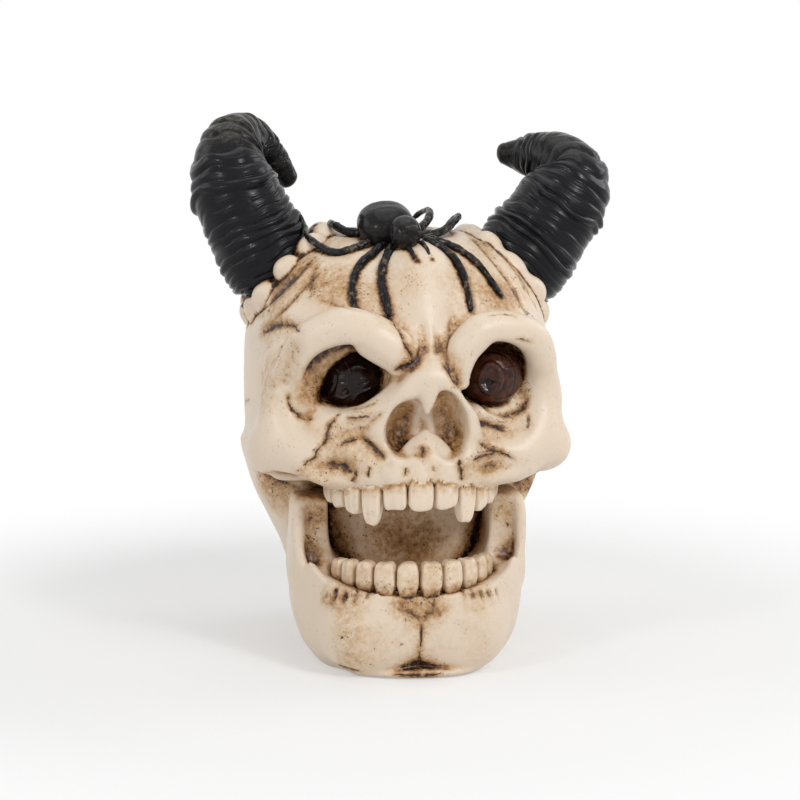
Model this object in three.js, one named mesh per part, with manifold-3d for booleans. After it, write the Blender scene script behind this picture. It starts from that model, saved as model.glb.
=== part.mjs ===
// Horned skull figurine: a cast resin skull with a fixed open jaw, two curled horns in bead collars,
// glossy eyeballs, single teeth and a spider that clings to the forehead.
// Millimetres, +Z up, the flat base on z = 0, the face looking along -Y.
// Left and right are the figure's own, so its right side has negative x.
import * as THREE from "three";
import { mergeVertices } from "three/addons/utils/BufferGeometryUtils.js";
import Module from "manifold-3d";

const wasm = await Module();
wasm.setup();

// Driving dimensions: the joints between pieces.
const glueGap = 0.3;

// Driving dimensions: the braincase and the neck block that it stands on.
const skullWidth = 94;
const skullLength = 100;
const crownHeight = 129;
const braincaseHeight = 99;
const braincaseSquareness = 2.9;
const braincaseRoundness = 2.4;
const neckWidth = 52;
const neckLength = 64;
const neckHeight = 60;
const neckSideFlare = 1.75;
const neckBackFlare = 1.15;
const mouthDepth = 22;
const cheekLine = 55;
const jawHollowDepth = 38;

// Driving dimensions: the eyes, their sockets, the brows and the forehead between them.
const eyeRadius = 9.8;
const rightEyeOut = 17;
const rightEyeSink = 6.8;
const rightEyeHeight = 86;
const leftEyeOut = 22.5;
const leftEyeSink = 3.3;
const leftEyeHeight = 87.5;
const pupilRadius = 2.6;
const pupilDepth = 1.7;
const faceOffset = 1.2;
const browSpacing = 43;
const browCentre = 87;
const socketDepth = 16;
const socketProud = 1;
const socketSquareness = 2.2;
// Each socket from the middle of its brow: outwards and upwards, and its slant in degrees.
const rightSocket = { out: 0.7, up: 1.2, width: 24, height: 19.6, slant: 13 };
const leftSocket = { out: -1, up: 1.4, width: 21.8, height: 19.4, slant: 8 };
// Each brow's line from its middle at the face: outwards, backwards and upwards, and its radius there.
const rightBrowLine = [
  [17, 14, -7, 3.6],
  [14.5, 7, 4, 5.2],
  [9.5, 2.5, 12, 6.2],
  [1, -0.5, 15.5, 6.4],
  [-7, -2.5, 13, 6.2],
  [-12.5, -3, 9.5, 6],
  [-15.5, -2, 6, 4.6],
  [-18, -1, 3.5, 1.2],
];
const leftBrowLine = [
  [17, 14, -6, 3.6],
  [15, 7, 6, 5.2],
  [11, 2.5, 13.5, 6.2],
  [3, -0.5, 17, 6.2],
  [-5, -2.5, 15.5, 5.6],
  [-9.5, -3.5, 10, 4.8],
  [-11.3, -3.5, 4.5, 4],
  [-10.4, -3, 0, 2.4],
  [-10, -2.8, -1.8, 0.9],
];
// The point of a brow's line from which its inner end hangs over the socket.
const browEndStart = 4;
// The tongue of the forehead, from between the brows at the face, given as the brows are.
const foreheadLine = [
  [0.6, 21.5, 29, 11],
  [0.6, 13.4, 20, 9.5],
  [1.2, 6.4, 11, 6.6],
  [2, 0.8, 4, 3.6],
];
// The lid under the right eye, from the middle of the right brow.
const rightLidLine = [
  [-0.3, 3, -11.5, 2.6],
  [-5.3, 0, -9.6, 3.2],
  [-9.8, -1.5, -6.4, 3.2],
  [-13.8, -2.5, -2.4, 2.8],
];

// Driving dimensions: the nose, the cheekbones and the upper jaw.
const noseWidth = 28;
const noseHeight = 28;
const noseCentre = 78;
const noseOffset = 1.6;
const noseProud = 4.5;
const noseRoot = 5;
const noseSquareness = 2.3;
// Each side of the nose's rim from the middle of the nose at the face, given as the brows are.
const rightNoseRimLine = [
  [-2, -3, 14, 3.4],
  [2, -5.8, 10.5, 3.4],
  [8.5, -4.6, 3.5, 3],
  [13.3, -2.8, -5, 2.9],
  [13, -2.4, -10, 2.7],
  [9.5, -4.4, -13.5, 2.4],
];
const leftNoseRimLine = [
  [2, -3, 14, 3.4],
  [4.5, -5.8, 10, 3.4],
  [9, -4.8, 5.5, 3],
  [13.2, -3, -3.5, 2.9],
  [13.6, -2.4, -9.5, 2.7],
  [11, -4.2, -13.5, 2.4],
];
// The nose's opening is cut with lumps whose middles lie in front of the face. Each is given from the
// middle of the nose: towards the figure's left and upwards, half its width and height, and its tilt.
const noseHollowProud = 8;
const noseHollowDepth = 4;
const noseHollows = [
  { left: -5.6, up: -4, halfWidth: 6.2, halfHeight: 8.6, tilt: 14 },
  { left: 5.8, up: -3, halfWidth: 6.6, halfHeight: 10.4, tilt: -12 },
  { left: 0.2, up: -4.5, halfWidth: 6, halfHeight: 7, tilt: 0 },
];
// The point of bone that hangs into the nose's opening from its bridge, given as the rim is.
const septumLine = [
  [0.8, -6, 10, 3.4],
  [0.4, -6.4, 5, 2.4],
  [0.2, -6, 1, 0.9],
];
const spineWidth = 12.8;
const spineHeight = 18;
const spineDrop = 14.5;
const spineProud = 6.7;
const spineRoot = 1.7;
const spineSquareness = 1.7;
const cheekSpacing = 73;
const cheekHeight = 67;
const cheekWidth = 22;
const cheekLength = 34;
const cheekThickness = 20;
const cheekSetBack = 4;
const cheekTilt = 17;
const cheekTurn = 26;
const cheekStrutRadius = 8.1;
const cheekStrutEndRadius = 6.5;
// The strut's centre line from the middle of the cheek at the face: outwards, backwards and upwards.
const cheekStrutLine = [
  [0, 19, 22],
  [1, 11, 5],
  [-6, 6, -3],
  [-13.5, 3, -4],
];
const maxillaWidth = 54;
const maxillaLength = 44;
const maxillaBottom = 49.5;
const maxillaThickness = 27;
const maxillaProud = 8;
const maxillaSquareness = 2.4;
const midfaceWidth = 66;
const midfaceHeight = 30;
const midfaceCentre = 69;
const midfaceDepth = 30;
const midfaceProud = 2;
const midfaceSquareness = 2.6;

// Driving dimensions: the lower jaw.
const jawWidth = 72;
const jawLength = 66;
const jawTop = 57;
const jawRounding = 8;
const jawProud = 5;
const jawSquareness = 2.6;
const mouthWidth = 50;
const mouthHeight = 41;
const mouthFloor = 25.5;
const mouthSquareness = 3.4;
const lipWidth = 61;
const lipDepth = 16;
const lipProud = 6;
const lipFlatness = 8;
const tongueFloor = 14;
const tongueWidth = 40;
const tongueLength = 24;
const tongueSetBack = 3;
const tongueSquareness = 2.4;
const chinSpacing = 23;
const chinWidth = 34;
const chinLength = 22;
const chinTop = 28;
const chinRounding = 1;
const chinProud = 1;
const chinSquareness = 2.2;

// Driving dimensions: the teeth, counted from the middle of each row outwards.
const upperArchWidth = 52;
const upperArchLength = 27;
const upperGumRise = 8.5;
const upperRoot = 4.5;
const upperToothWidths = [6.9, 6.7, 5.6, 5.4, 5.2, 5];
const upperToothCrowns = [7.6, 7.4, 12.2, 9.4, 8.6, 7.8];
const lowerArchWidth = 50;
const lowerArchLength = 24;
const lowerRoot = 2;
const lowerToothWidths = [6.1, 5.7, 5.2, 4.6, 4.4];
const lowerToothCrowns = [9.2, 9.2, 9, 8.6, 8.2];
const toothThickness = 5.2;
const toothInset = 1.7;
const toothSquareness = 3.2;
const toothGap = 0.6;

// Driving dimensions: the horns, their tenons and the bead collars round their feet.
const hornSeatAngle = 46.5;
const hornLean = 42;
const hornFoot = 9;
const hornRibs = 13;
const hornRibHeight = 0.7;
const tenonRadius = 8;
const tenonLength = 9;
const collarBeads = 12;
const collarInset = 1.6;
const beadRadius = 4.4;
const beadOverlap = 2;
const beadLength = 6;
// Each horn's centre line from its seat: outwards, backwards and upwards, and the horn's radius there.
const rightHornLine = [
  [-2, 0, 1.5, 15.7],
  [4.5, 1, 13, 14.9],
  [9.5, 2, 23.5, 14.3],
  [11, 5, 32.5, 11.8],
  [8, 11, 38.5, 9.2],
  [2.5, 17, 39, 6.5],
  [-4, 21, 33.5, 4.6],
  [-9, 23, 27, 2.7],
  [-10, 23.5, 25.5, 1.2],
];
const leftHornLine = [
  [0, 0, 0.5, 16.1],
  [7.5, 1, 10, 15.3],
  [15.5, 2, 20.5, 14.3],
  [18.5, 5, 27, 11.8],
  [15.5, 10, 32, 9.6],
  [10, 16, 33.5, 8],
  [4.5, 20, 34, 5.3],
  [-0.5, 22, 34.5, 2.7],
  [-2, 22.5, 34.5, 1.2],
];

// Driving dimensions: the spider, placed by points that are carried on to the skull's surface.
const abdomenRadii = [8.6, 9.4, 6.4];
const abdomenPoint = [-5, -18, 127];
const spiderHeadRadii = [5, 5.8, 4.8];
const spiderHeadPoint = [-1, -28.5, 123];
const bodySink = 0.4;
const fangRadius = 1.4;
const fangTipRadius = 0.8;
const legRadius = 1.75;
const legTipRadius = 0.9;
const limbSink = 0.35;
const fangRoutes = {
  spider_fang_right: [[-1, -31, 121.5], [0, -33.5, 119.5], [1.5, -36, 117.5]],
  spider_fang_left: [[3, -30, 121.5], [4.5, -32.5, 119.8], [6, -34.5, 118]],
};
const legRoutes = {
  spider_leg_right_1: [
    [-4.5, -29.5, 122.5], [-7.5, -34, 119], [-8.7, -37, 114.5], [-8.5, -42.5, 110], [-7.5, -45, 105],
  ],
  spider_leg_right_2: [
    [-6, -26, 123.5], [-14, -32.5, 119], [-16.5, -36, 114.5], [-17.3, -38.5, 111], [-17, -42.5, 107],
  ],
  spider_leg_right_3: [
    [-8, -22, 125.5], [-16.5, -26, 122.5], [-21.5, -25, 122], [-25, -19, 123], [-27, -11, 124],
  ],
  spider_leg_right_4: [
    [-12, -17, 127], [-16.5, -14, 127.5], [-19, -8, 128], [-19, -1, 128], [-17, 6, 128],
  ],
  spider_leg_left_1: [
    [4, -27.5, 123], [11, -30, 121.5], [14.5, -34, 117.5], [16, -40, 112], [16.5, -43, 106],
  ],
  spider_leg_left_2: [
    [4.5, -24, 124.5], [13, -24.5, 124], [19, -30, 120.5], [23, -34, 115.5], [26.5, -37, 109.5],
  ],
  spider_leg_left_3: [
    [4.5, -20.5, 126], [11, -18.5, 126.5], [15.5, -13, 127.5], [17.5, -5, 128], [16.5, 3, 128],
  ],
  spider_leg_left_4: [
    [4, -16, 127], [8, -10.5, 128], [9.5, -4, 128.5], [8.5, 3, 129], [6, 9, 129],
  ],
};

// Places worked out from the driving dimensions.
const faceY = -skullLength / 2;
const braincaseCentre = new THREE.Vector3(0, 0, crownHeight - braincaseHeight / 2);
const braincaseRadii = new THREE.Vector3(skullWidth / 2, skullLength / 2, braincaseHeight / 2);
const neckFront = faceY + mouthDepth;
const upright = new THREE.Euler(Math.PI / 2, 0, 0);
const noTurn = new THREE.Euler();
const far = 4 * (skullWidth + skullLength + crownHeight);
const sides = { right: -1, left: 1 };
const radians = THREE.MathUtils.degToRad;
const lerp = THREE.MathUtils.lerp;

// A closed three.js geometry as a solid that can be cut and joined.
function solidOf(geometry) {
  const bare = geometry.clone();
  bare.deleteAttribute("normal");
  bare.deleteAttribute("uv");
  const merged = mergeVertices(bare, 1e-4);
  const mesh = new wasm.Mesh({
    numProp: 3,
    vertProperties: merged.attributes.position.array,
    triVerts: new Uint32Array(merged.index.array),
  });
  return new wasm.Manifold(mesh);
}

// A cut or joined solid as a three.js geometry again.
function geometryOf(solid) {
  const mesh = solid.getMesh();
  const geometry = new THREE.BufferGeometry();
  geometry.setAttribute("position", new THREE.BufferAttribute(mesh.vertProperties, 3));
  geometry.setIndex(new THREE.BufferAttribute(mesh.triVerts, 1));
  geometry.computeVertexNormals();
  return geometry;
}

function joined(solids) {
  return solids.reduce((all, next) => all.add(next));
}

function cutBy(solid, cutters) {
  return cutters.reduce((rest, cutter) => rest.subtract(cutter), solid);
}

// A unit direction stretched on to a rounded box, whose section across Y and whose sides along Y
// each have their own squareness: 2 is round and more is squarer.
function ontoRoundedBox(direction, squareness, roundness) {
  const combine = (a, b, power) => (Math.abs(a) ** power + Math.abs(b) ** power) ** (1 / power);
  const across = combine(direction.x, direction.z, squareness);
  const size = combine(across, direction.y, roundness);
  return direction.clone().divideScalar(size);
}

// An ellipsoid, or with a squareness above 2 a rounded box, with its poles along its own Z.
function lump({ centre, radii, turn, squareness = 2, roundness, around = 16, along = 10, grow = 0 }) {
  const geometry = new THREE.SphereGeometry(1, around, along);
  geometry.applyMatrix4(new THREE.Matrix4().makeRotationFromEuler(upright));
  const spots = geometry.attributes.position;
  const spot = new THREE.Vector3();
  for (let i = 0; i < spots.count; i++) {
    spot.fromBufferAttribute(spots, i);
    spot.copy(ontoRoundedBox(spot.normalize(), squareness, roundness ?? squareness));
    spots.setXYZ(i, spot.x * (radii.x + grow), spot.y * (radii.y + grow), spot.z * (radii.z + grow));
  }
  geometry.applyMatrix4(new THREE.Matrix4().makeRotationFromEuler(turn ?? noTurn));
  geometry.translate(centre.x, centre.y, centre.z);
  return solidOf(geometry);
}

// A block between two corners.
function block(low, high) {
  const size = high.clone().sub(low);
  const geometry = new THREE.BoxGeometry(size.x, size.y, size.z);
  const middle = low.clone().add(high).multiplyScalar(0.5);
  geometry.translate(middle.x, middle.y, middle.z);
  return solidOf(geometry);
}

// A round bar bent along a curve, with a radius that changes along it.
function bentBar({ curve, radiusAt, around, steps, grow = 0 }) {
  const geometry = new THREE.CylinderGeometry(1, 1, 1, around, steps);
  const frames = curve.computeFrenetFrames(steps, false);
  const spots = geometry.attributes.position;
  for (let i = 0; i < spots.count; i++) {
    const share = 0.5 - spots.getY(i);
    const step = Math.round(share * steps);
    const radius = radiusAt(share) + grow;
    const end = share > 0.99 ? grow : share < 0.01 ? -grow : 0;
    const spot = curve.getPointAt(step / steps);
    spot.addScaledVector(frames.normals[step], spots.getX(i) * radius);
    spot.addScaledVector(frames.binormals[step], spots.getZ(i) * radius);
    spot.addScaledVector(frames.tangents[step], end);
    spots.setXYZ(i, spot.x, spot.y, spot.z);
  }
  const bar = solidOf(geometry);
  return bar.volume() > 0 ? bar : solidOf(turnedInsideOut(geometry));
}

function turnedInsideOut(geometry) {
  const turned = geometry.clone();
  const corners = turned.index.array;
  for (let i = 0; i < corners.length; i += 3) {
    [corners[i], corners[i + 1]] = [corners[i + 1], corners[i]];
  }
  return turned;
}

// Everything below the base, which is cut off flat.
function underBase() {
  return block(new THREE.Vector3(-far, -far, -far), new THREE.Vector3(far, far, 0));
}

function braincase(grow = 0) {
  return lump({
    centre: braincaseCentre,
    radii: braincaseRadii,
    squareness: braincaseSquareness,
    roundness: braincaseRoundness,
    around: 32,
    along: 20,
    grow,
  });
}

// The space under the cheekbones that the lower jaw fills.
function jawHollow(grow = 0) {
  return block(
    new THREE.Vector3(-far, -far, -far),
    new THREE.Vector3(far, faceY + jawHollowDepth - grow, cheekLine - grow),
  );
}

// The block that the braincase stands on: its front is the back wall of the mouth, its sides and back
// flare out upwards.
function neck(grow = 0) {
  const geometry = new THREE.CylinderGeometry(1, 1, neckHeight, 28, 1);
  geometry.applyMatrix4(new THREE.Matrix4().makeRotationFromEuler(upright));
  geometry.translate(0, 0, neckHeight / 2);
  const places = geometry.attributes.position;
  for (let i = 0; i < places.count; i++) {
    const share = places.getZ(i) / neckHeight;
    const halfWidth = (neckWidth / 2) * (1 + (neckSideFlare - 1) * share);
    const halfLength = (neckLength / 2) * (1 + (neckBackFlare - 1) * share);
    places.setX(i, places.getX(i) * (halfWidth + grow));
    places.setY(i, neckFront + halfLength + places.getY(i) * (halfLength + grow));
  }
  return solidOf(geometry);
}

function maxilla(grow = 0) {
  const radii = new THREE.Vector3(maxillaWidth, maxillaLength, maxillaThickness).multiplyScalar(0.5);
  return lump({
    centre: new THREE.Vector3(0, faceY - maxillaProud + radii.y, maxillaBottom + radii.z),
    radii,
    squareness: maxillaSquareness,
    around: 24,
    grow,
  });
}

function cheekbone(side, grow = 0) {
  return lump({
    centre: new THREE.Vector3((side * cheekSpacing) / 2, faceY + cheekSetBack + cheekLength / 2, cheekHeight),
    radii: new THREE.Vector3(cheekWidth / 2, cheekLength / 2, cheekThickness / 2),
    turn: new THREE.Euler(0, side * radians(cheekTilt), side * radians(cheekTurn)),
    grow,
  });
}

// A line given from a middle point as outwards, backwards and upwards, on one side of the face.
function faceLine(line, middle, side) {
  const points = line.map(([out, back, up]) => new THREE.Vector3(side * out, back, up).add(middle));
  return new THREE.CatmullRomCurve3(points);
}

// The radius at each share of a line, from the radii at its points.
function radiusAlong(radii) {
  return (share) => {
    const place = share * (radii.length - 1);
    const before = Math.min(Math.floor(place), radii.length - 2);
    return lerp(radii[before], radii[before + 1], place - before);
  };
}

// A bar along a line on the face whose points each have a radius.
function faceBar({ line, middle, side = 1, around = 9, steps }) {
  const curve = faceLine(line, middle, side);
  return bentBar({ curve, radiusAt: radiusAlong(line.map((point) => point[3])), around, steps });
}

// The strut from the outer end of the brow down through the cheekbone and in to the upper jaw.
function cheekStrut(side, grow = 0) {
  const middle = new THREE.Vector3((side * cheekSpacing) / 2, faceY, cheekHeight);
  const curve = faceLine(cheekStrutLine, middle, side);
  const radiusAt = (share) => lerp(cheekStrutEndRadius, cheekStrutRadius, Math.sin(Math.PI * share));
  return bentBar({ curve, radiusAt, around: 9, steps: 7, grow });
}

function browMiddle(side) {
  return new THREE.Vector3(faceOffset + (side * browSpacing) / 2, faceY, browCentre);
}

function browLine(side) {
  return side < 0 ? rightBrowLine : leftBrowLine;
}

// An arched ridge from the outer corner of the socket over the eye to the root of the nose.
function browRidge(side) {
  return faceBar({ line: browLine(side), middle: browMiddle(side), side, steps: 14 });
}

// The inner end of a brow, which hangs over the socket.
function browEnd(side) {
  return faceBar({ line: browLine(side).slice(browEndStart), middle: browMiddle(side), side, steps: 8 });
}

function forehead() {
  const middle = new THREE.Vector3(faceOffset, faceY, browCentre);
  return faceBar({ line: foreheadLine, middle, around: 14, steps: 8 });
}

function rightLid() {
  return faceBar({ line: rightLidLine, middle: browMiddle(sides.right), side: sides.right, steps: 6 });
}

function noseMiddle() {
  return new THREE.Vector3(noseOffset, faceY, noseCentre);
}

function noseMound() {
  return lump({
    centre: noseMiddle().add(new THREE.Vector3(0, noseRoot, 0)),
    radii: new THREE.Vector3(noseWidth / 2, noseProud + noseRoot, noseHeight / 2),
    squareness: noseSquareness,
  });
}

// One side of the raised rim that runs from the bridge of the nose round its opening.
function noseRim(side) {
  const line = side < 0 ? rightNoseRimLine : leftNoseRimLine;
  return faceBar({ line, middle: noseMiddle(), side, around: 8, steps: 9 });
}

// The flat front of the face between the cheekbones, under the eyes.
function midface(grow = 0) {
  return lump({
    centre: new THREE.Vector3(0, faceY - midfaceProud + midfaceDepth / 2, midfaceCentre),
    radii: new THREE.Vector3(midfaceWidth / 2, midfaceDepth / 2, midfaceHeight / 2),
    squareness: midfaceSquareness,
    grow,
  });
}

// One lump of the heart-shaped opening of the nose.
function noseHollow({ left, up, halfWidth, halfHeight, tilt }) {
  return lump({
    centre: noseMiddle().add(new THREE.Vector3(left, -noseHollowProud, up)),
    radii: new THREE.Vector3(halfWidth, noseHollowProud + noseHollowDepth, halfHeight),
    turn: new THREE.Euler(0, radians(tilt), 0),
  });
}

function septum() {
  return faceBar({ line: septumLine, middle: noseMiddle(), steps: 4 });
}

// The pointed shield of bone that stands up into the nose's opening from below.
function nasalSpine() {
  const halfDepth = (spineProud + spineRoot) / 2;
  return lump({
    centre: noseMiddle().add(new THREE.Vector3(0, spineRoot - halfDepth, -spineDrop)),
    radii: new THREE.Vector3(spineWidth / 2, halfDepth, spineHeight / 2),
    squareness: spineSquareness,
  });
}

// A socket is cut in from just in front of the face, and its eyeball is let into the back of it.
function socket(side) {
  const { out, up, width, height, slant } = side < 0 ? rightSocket : leftSocket;
  return lump({
    centre: browMiddle(side).add(new THREE.Vector3(side * out, -socketProud, up)),
    radii: new THREE.Vector3(width / 2, socketDepth + socketProud, height / 2),
    turn: new THREE.Euler(0, side * radians(slant), 0),
    squareness: socketSquareness,
    around: 20,
  });
}

function eyeCentre(side) {
  const sink = side < 0 ? rightEyeSink : leftEyeSink;
  const out = side < 0 ? rightEyeOut : leftEyeOut;
  const height = side < 0 ? rightEyeHeight : leftEyeHeight;
  return new THREE.Vector3(side * out, faceY + socketDepth + sink - eyeRadius, height);
}

function eyeBulk(side, grow = 0) {
  return lump({ centre: eyeCentre(side), radii: new THREE.Vector3(eyeRadius, eyeRadius, eyeRadius), grow });
}

function eyeball(side) {
  const ahead = new THREE.Vector3(0, pupilDepth - pupilRadius - eyeRadius, 0);
  const pupil = lump({
    centre: eyeCentre(side).add(ahead),
    radii: new THREE.Vector3(pupilRadius, pupilRadius, pupilRadius),
    around: 10,
    along: 8,
  });
  return eyeBulk(side).subtract(pupil);
}

// All the raised masses of the skull, before anything is let into it.
function skullMass(grow = 0) {
  const shell = braincase(grow).subtract(jawHollow(grow));
  const masses = [neck(grow), maxilla(grow), midface(grow), forehead(), noseMound()];
  for (const side of Object.values(sides)) {
    masses.push(cheekbone(side, grow), cheekStrut(side, grow), browRidge(side), noseRim(side));
  }
  return joined([shell, ...masses]).subtract(underBase());
}

const bareSkull = skullMass();
const grownSkull = skullMass(glueGap);
const skullMesh = new THREE.Mesh(geometryOf(bareSkull));

// Where a line from a point outside to the middle of the braincase meets the skull.
function onSkull([x, y, z]) {
  const inwards = braincaseCentre.clone().sub(new THREE.Vector3(x, y, z)).normalize();
  const start = braincaseCentre.clone().addScaledVector(inwards, -far);
  const hit = new THREE.Raycaster(start, inwards).intersectObject(skullMesh)[0];
  return { spot: hit.point, inwards };
}

// One tooth, standing upright and turned to face out of its arch.
function tooth({ spot, turn, width, low, high, grow = 0 }) {
  return lump({
    centre: new THREE.Vector3(spot.x, spot.y, (low + high) / 2),
    radii: new THREE.Vector3(width / 2, toothThickness / 2, (high - low) / 2),
    turn: new THREE.Euler(0, 0, turn),
    squareness: toothSquareness,
    around: 8,
    along: 6,
    grow,
  });
}

// Every tooth of a row by name, side by side along a half ellipse from the middle to each end.
function toothRow({ row, widths, crowns, hasMiddle, archWidth, archLength, front, ends }) {
  const radii = new THREE.Vector2(archWidth / 2 - toothInset, archLength - toothInset);
  const arch = new THREE.EllipseCurve(0, front + archLength, radii.x, radii.y, -Math.PI / 2, 0);
  const archReach = arch.getLength();
  const teeth = {};
  let reach = hasMiddle ? -widths[0] / 2 : toothGap / 2;
  widths.forEach((width, i) => {
    const share = (reach + width / 2) / archReach;
    const spot = arch.getPointAt(share);
    const heading = arch.getTangentAt(share);
    const turn = Math.atan2(heading.y, heading.x);
    const size = { width, ...ends(crowns[i]) };
    if (hasMiddle && i === 0) {
      teeth[`${row}_tooth_middle`] = { spot, turn, ...size };
    } else {
      const place = hasMiddle ? i : i + 1;
      for (const [sideName, side] of Object.entries(sides)) {
        const beside = new THREE.Vector2(side * spot.x, spot.y);
        teeth[`${row}_tooth_${sideName}_${place}`] = { spot: beside, turn: side * turn, ...size };
      }
    }
    reach += width + toothGap;
  });
  return teeth;
}

const upperTeeth = toothRow({
  row: "upper",
  widths: upperToothWidths,
  crowns: upperToothCrowns,
  hasMiddle: true,
  archWidth: upperArchWidth,
  archLength: upperArchLength,
  front: faceY - maxillaProud,
  ends: (crown) => ({
    low: maxillaBottom + upperGumRise - crown,
    high: maxillaBottom + upperGumRise + upperRoot,
  }),
});
const lowerTeeth = toothRow({
  row: "lower",
  widths: lowerToothWidths,
  crowns: lowerToothCrowns,
  hasMiddle: false,
  archWidth: lowerArchWidth,
  archLength: lowerArchLength,
  front: faceY - jawProud,
  ends: (crown) => ({ low: mouthFloor - lowerRoot, high: mouthFloor + crown }),
});

// The direction in which a horn leaves the skull.
function hornAxis(side) {
  const lean = radians(hornLean);
  return new THREE.Vector3(side * Math.sin(lean), 0, Math.cos(lean));
}

function hornSeat(side) {
  const angle = radians(hornSeatAngle);
  const outwards = new THREE.Vector3(side * Math.sin(angle), 0, Math.cos(angle)).multiplyScalar(skullWidth);
  return onSkull(braincaseCentre.clone().add(outwards).toArray()).spot;
}

// A horn swept along its curl, with rings round it, its foot sunk below the skull's surface.
function hornBar(side, grow = 0) {
  const line = side < 0 ? rightHornLine : leftHornLine;
  const seat = hornSeat(side);
  const points = line.map(([out, back, up]) => new THREE.Vector3(side * out, back, up).add(seat));
  points.unshift(seat.clone().addScaledVector(hornAxis(side), -hornFoot));
  const curve = new THREE.CatmullRomCurve3(points);
  const radii = [line[0][3], ...line.map((point) => point[3])];
  const plainAt = radiusAlong(radii);
  const radiusAt = (share) => {
    const ring = hornRibHeight * Math.cos(2 * Math.PI * hornRibs * share);
    return plainAt(curve.getUtoTmapping(share)) * (1 + ring / radii[0]);
  };
  return bentBar({ curve, radiusAt, around: 16, steps: 2 * hornRibs, grow });
}

// The round peg under a horn that is glued into the skull.
function hornTenon(side, grow = 0) {
  const radius = tenonRadius + grow;
  const geometry = new THREE.CylinderGeometry(radius, radius, hornFoot + tenonLength + 2 * grow, 20, 1);
  const axis = hornAxis(side);
  geometry.applyQuaternion(new THREE.Quaternion().setFromUnitVectors(new THREE.Vector3(0, 1, 0), axis));
  const centre = hornSeat(side).addScaledVector(axis, hornFoot / 2 - tenonLength / 2);
  geometry.translate(centre.x, centre.y, centre.z);
  return solidOf(geometry);
}

function horn(side) {
  return hornBar(side).subtract(grownSkull).add(hornTenon(side));
}

// A ring of rounded, overlapping beads that follows the skull's surface round a horn's foot.
function collarRing(side) {
  const line = side < 0 ? rightHornLine : leftHornLine;
  const axis = hornAxis(side);
  const centre = hornSeat(side).add(new THREE.Vector3(side * line[0][0], line[0][1], line[0][2]));
  const across = new THREE.Vector3(0, 1, 0);
  const along = new THREE.Vector3().crossVectors(axis, across);
  const reach = line[0][3] + beadRadius - collarInset;
  const beadWidth = (2 * Math.PI * reach) / collarBeads + beadOverlap;
  const beads = [];
  for (let i = 0; i < collarBeads; i++) {
    const turn = (2 * Math.PI * i) / collarBeads;
    const outwards = across.clone().multiplyScalar(Math.cos(turn)).addScaledVector(along, Math.sin(turn));
    const sideways = new THREE.Vector3().crossVectors(axis, outwards);
    const facing = new THREE.Matrix4().makeBasis(sideways, outwards.clone().negate(), axis);
    const { spot } = onSkull(centre.clone().addScaledVector(outwards, reach).toArray());
    beads.push(
      lump({
        centre: spot,
        radii: new THREE.Vector3(beadWidth / 2, beadRadius, beadLength),
        turn: new THREE.Euler().setFromRotationMatrix(facing),
        around: 8,
        along: 5,
      }),
    );
  }
  return joined(beads);
}

// A spider body piece sits with part of its height let into the skull.
function bodyLump(point, radii, grow = 0) {
  const { spot, inwards } = onSkull(point);
  return lump({
    centre: spot.addScaledVector(inwards, -radii[2] * (1 - bodySink)),
    radii: new THREE.Vector3(...radii),
    turn: new THREE.Euler().setFromQuaternion(
      new THREE.Quaternion().setFromUnitVectors(new THREE.Vector3(0, 0, 1), inwards.clone().negate()),
    ),
    around: 12,
    along: 8,
    grow,
  });
}

function abdomen(grow = 0) {
  return bodyLump(abdomenPoint, abdomenRadii, grow);
}

function spiderHead(grow = 0) {
  return bodyLump(spiderHeadPoint, spiderHeadRadii, grow);
}

// A leg or fang lies along the skull with part of its thickness let in.
function limb({ route, radius, tipRadius, steps, grow = 0 }) {
  const points = route.map((point) => {
    const { spot, inwards } = onSkull(point);
    return spot.addScaledVector(inwards, -radius * (1 - 2 * limbSink));
  });
  const radiusAt = (share) => lerp(radius, tipRadius, share);
  return bentBar({ curve: new THREE.CatmullRomCurve3(points), radiusAt, around: 6, steps, grow });
}

function leg(route, grow = 0) {
  return limb({ route, radius: legRadius, tipRadius: legTipRadius, steps: 8, grow });
}

function fang(route, grow = 0) {
  return limb({ route, radius: fangRadius, tipRadius: fangTipRadius, steps: 2, grow });
}

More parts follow.
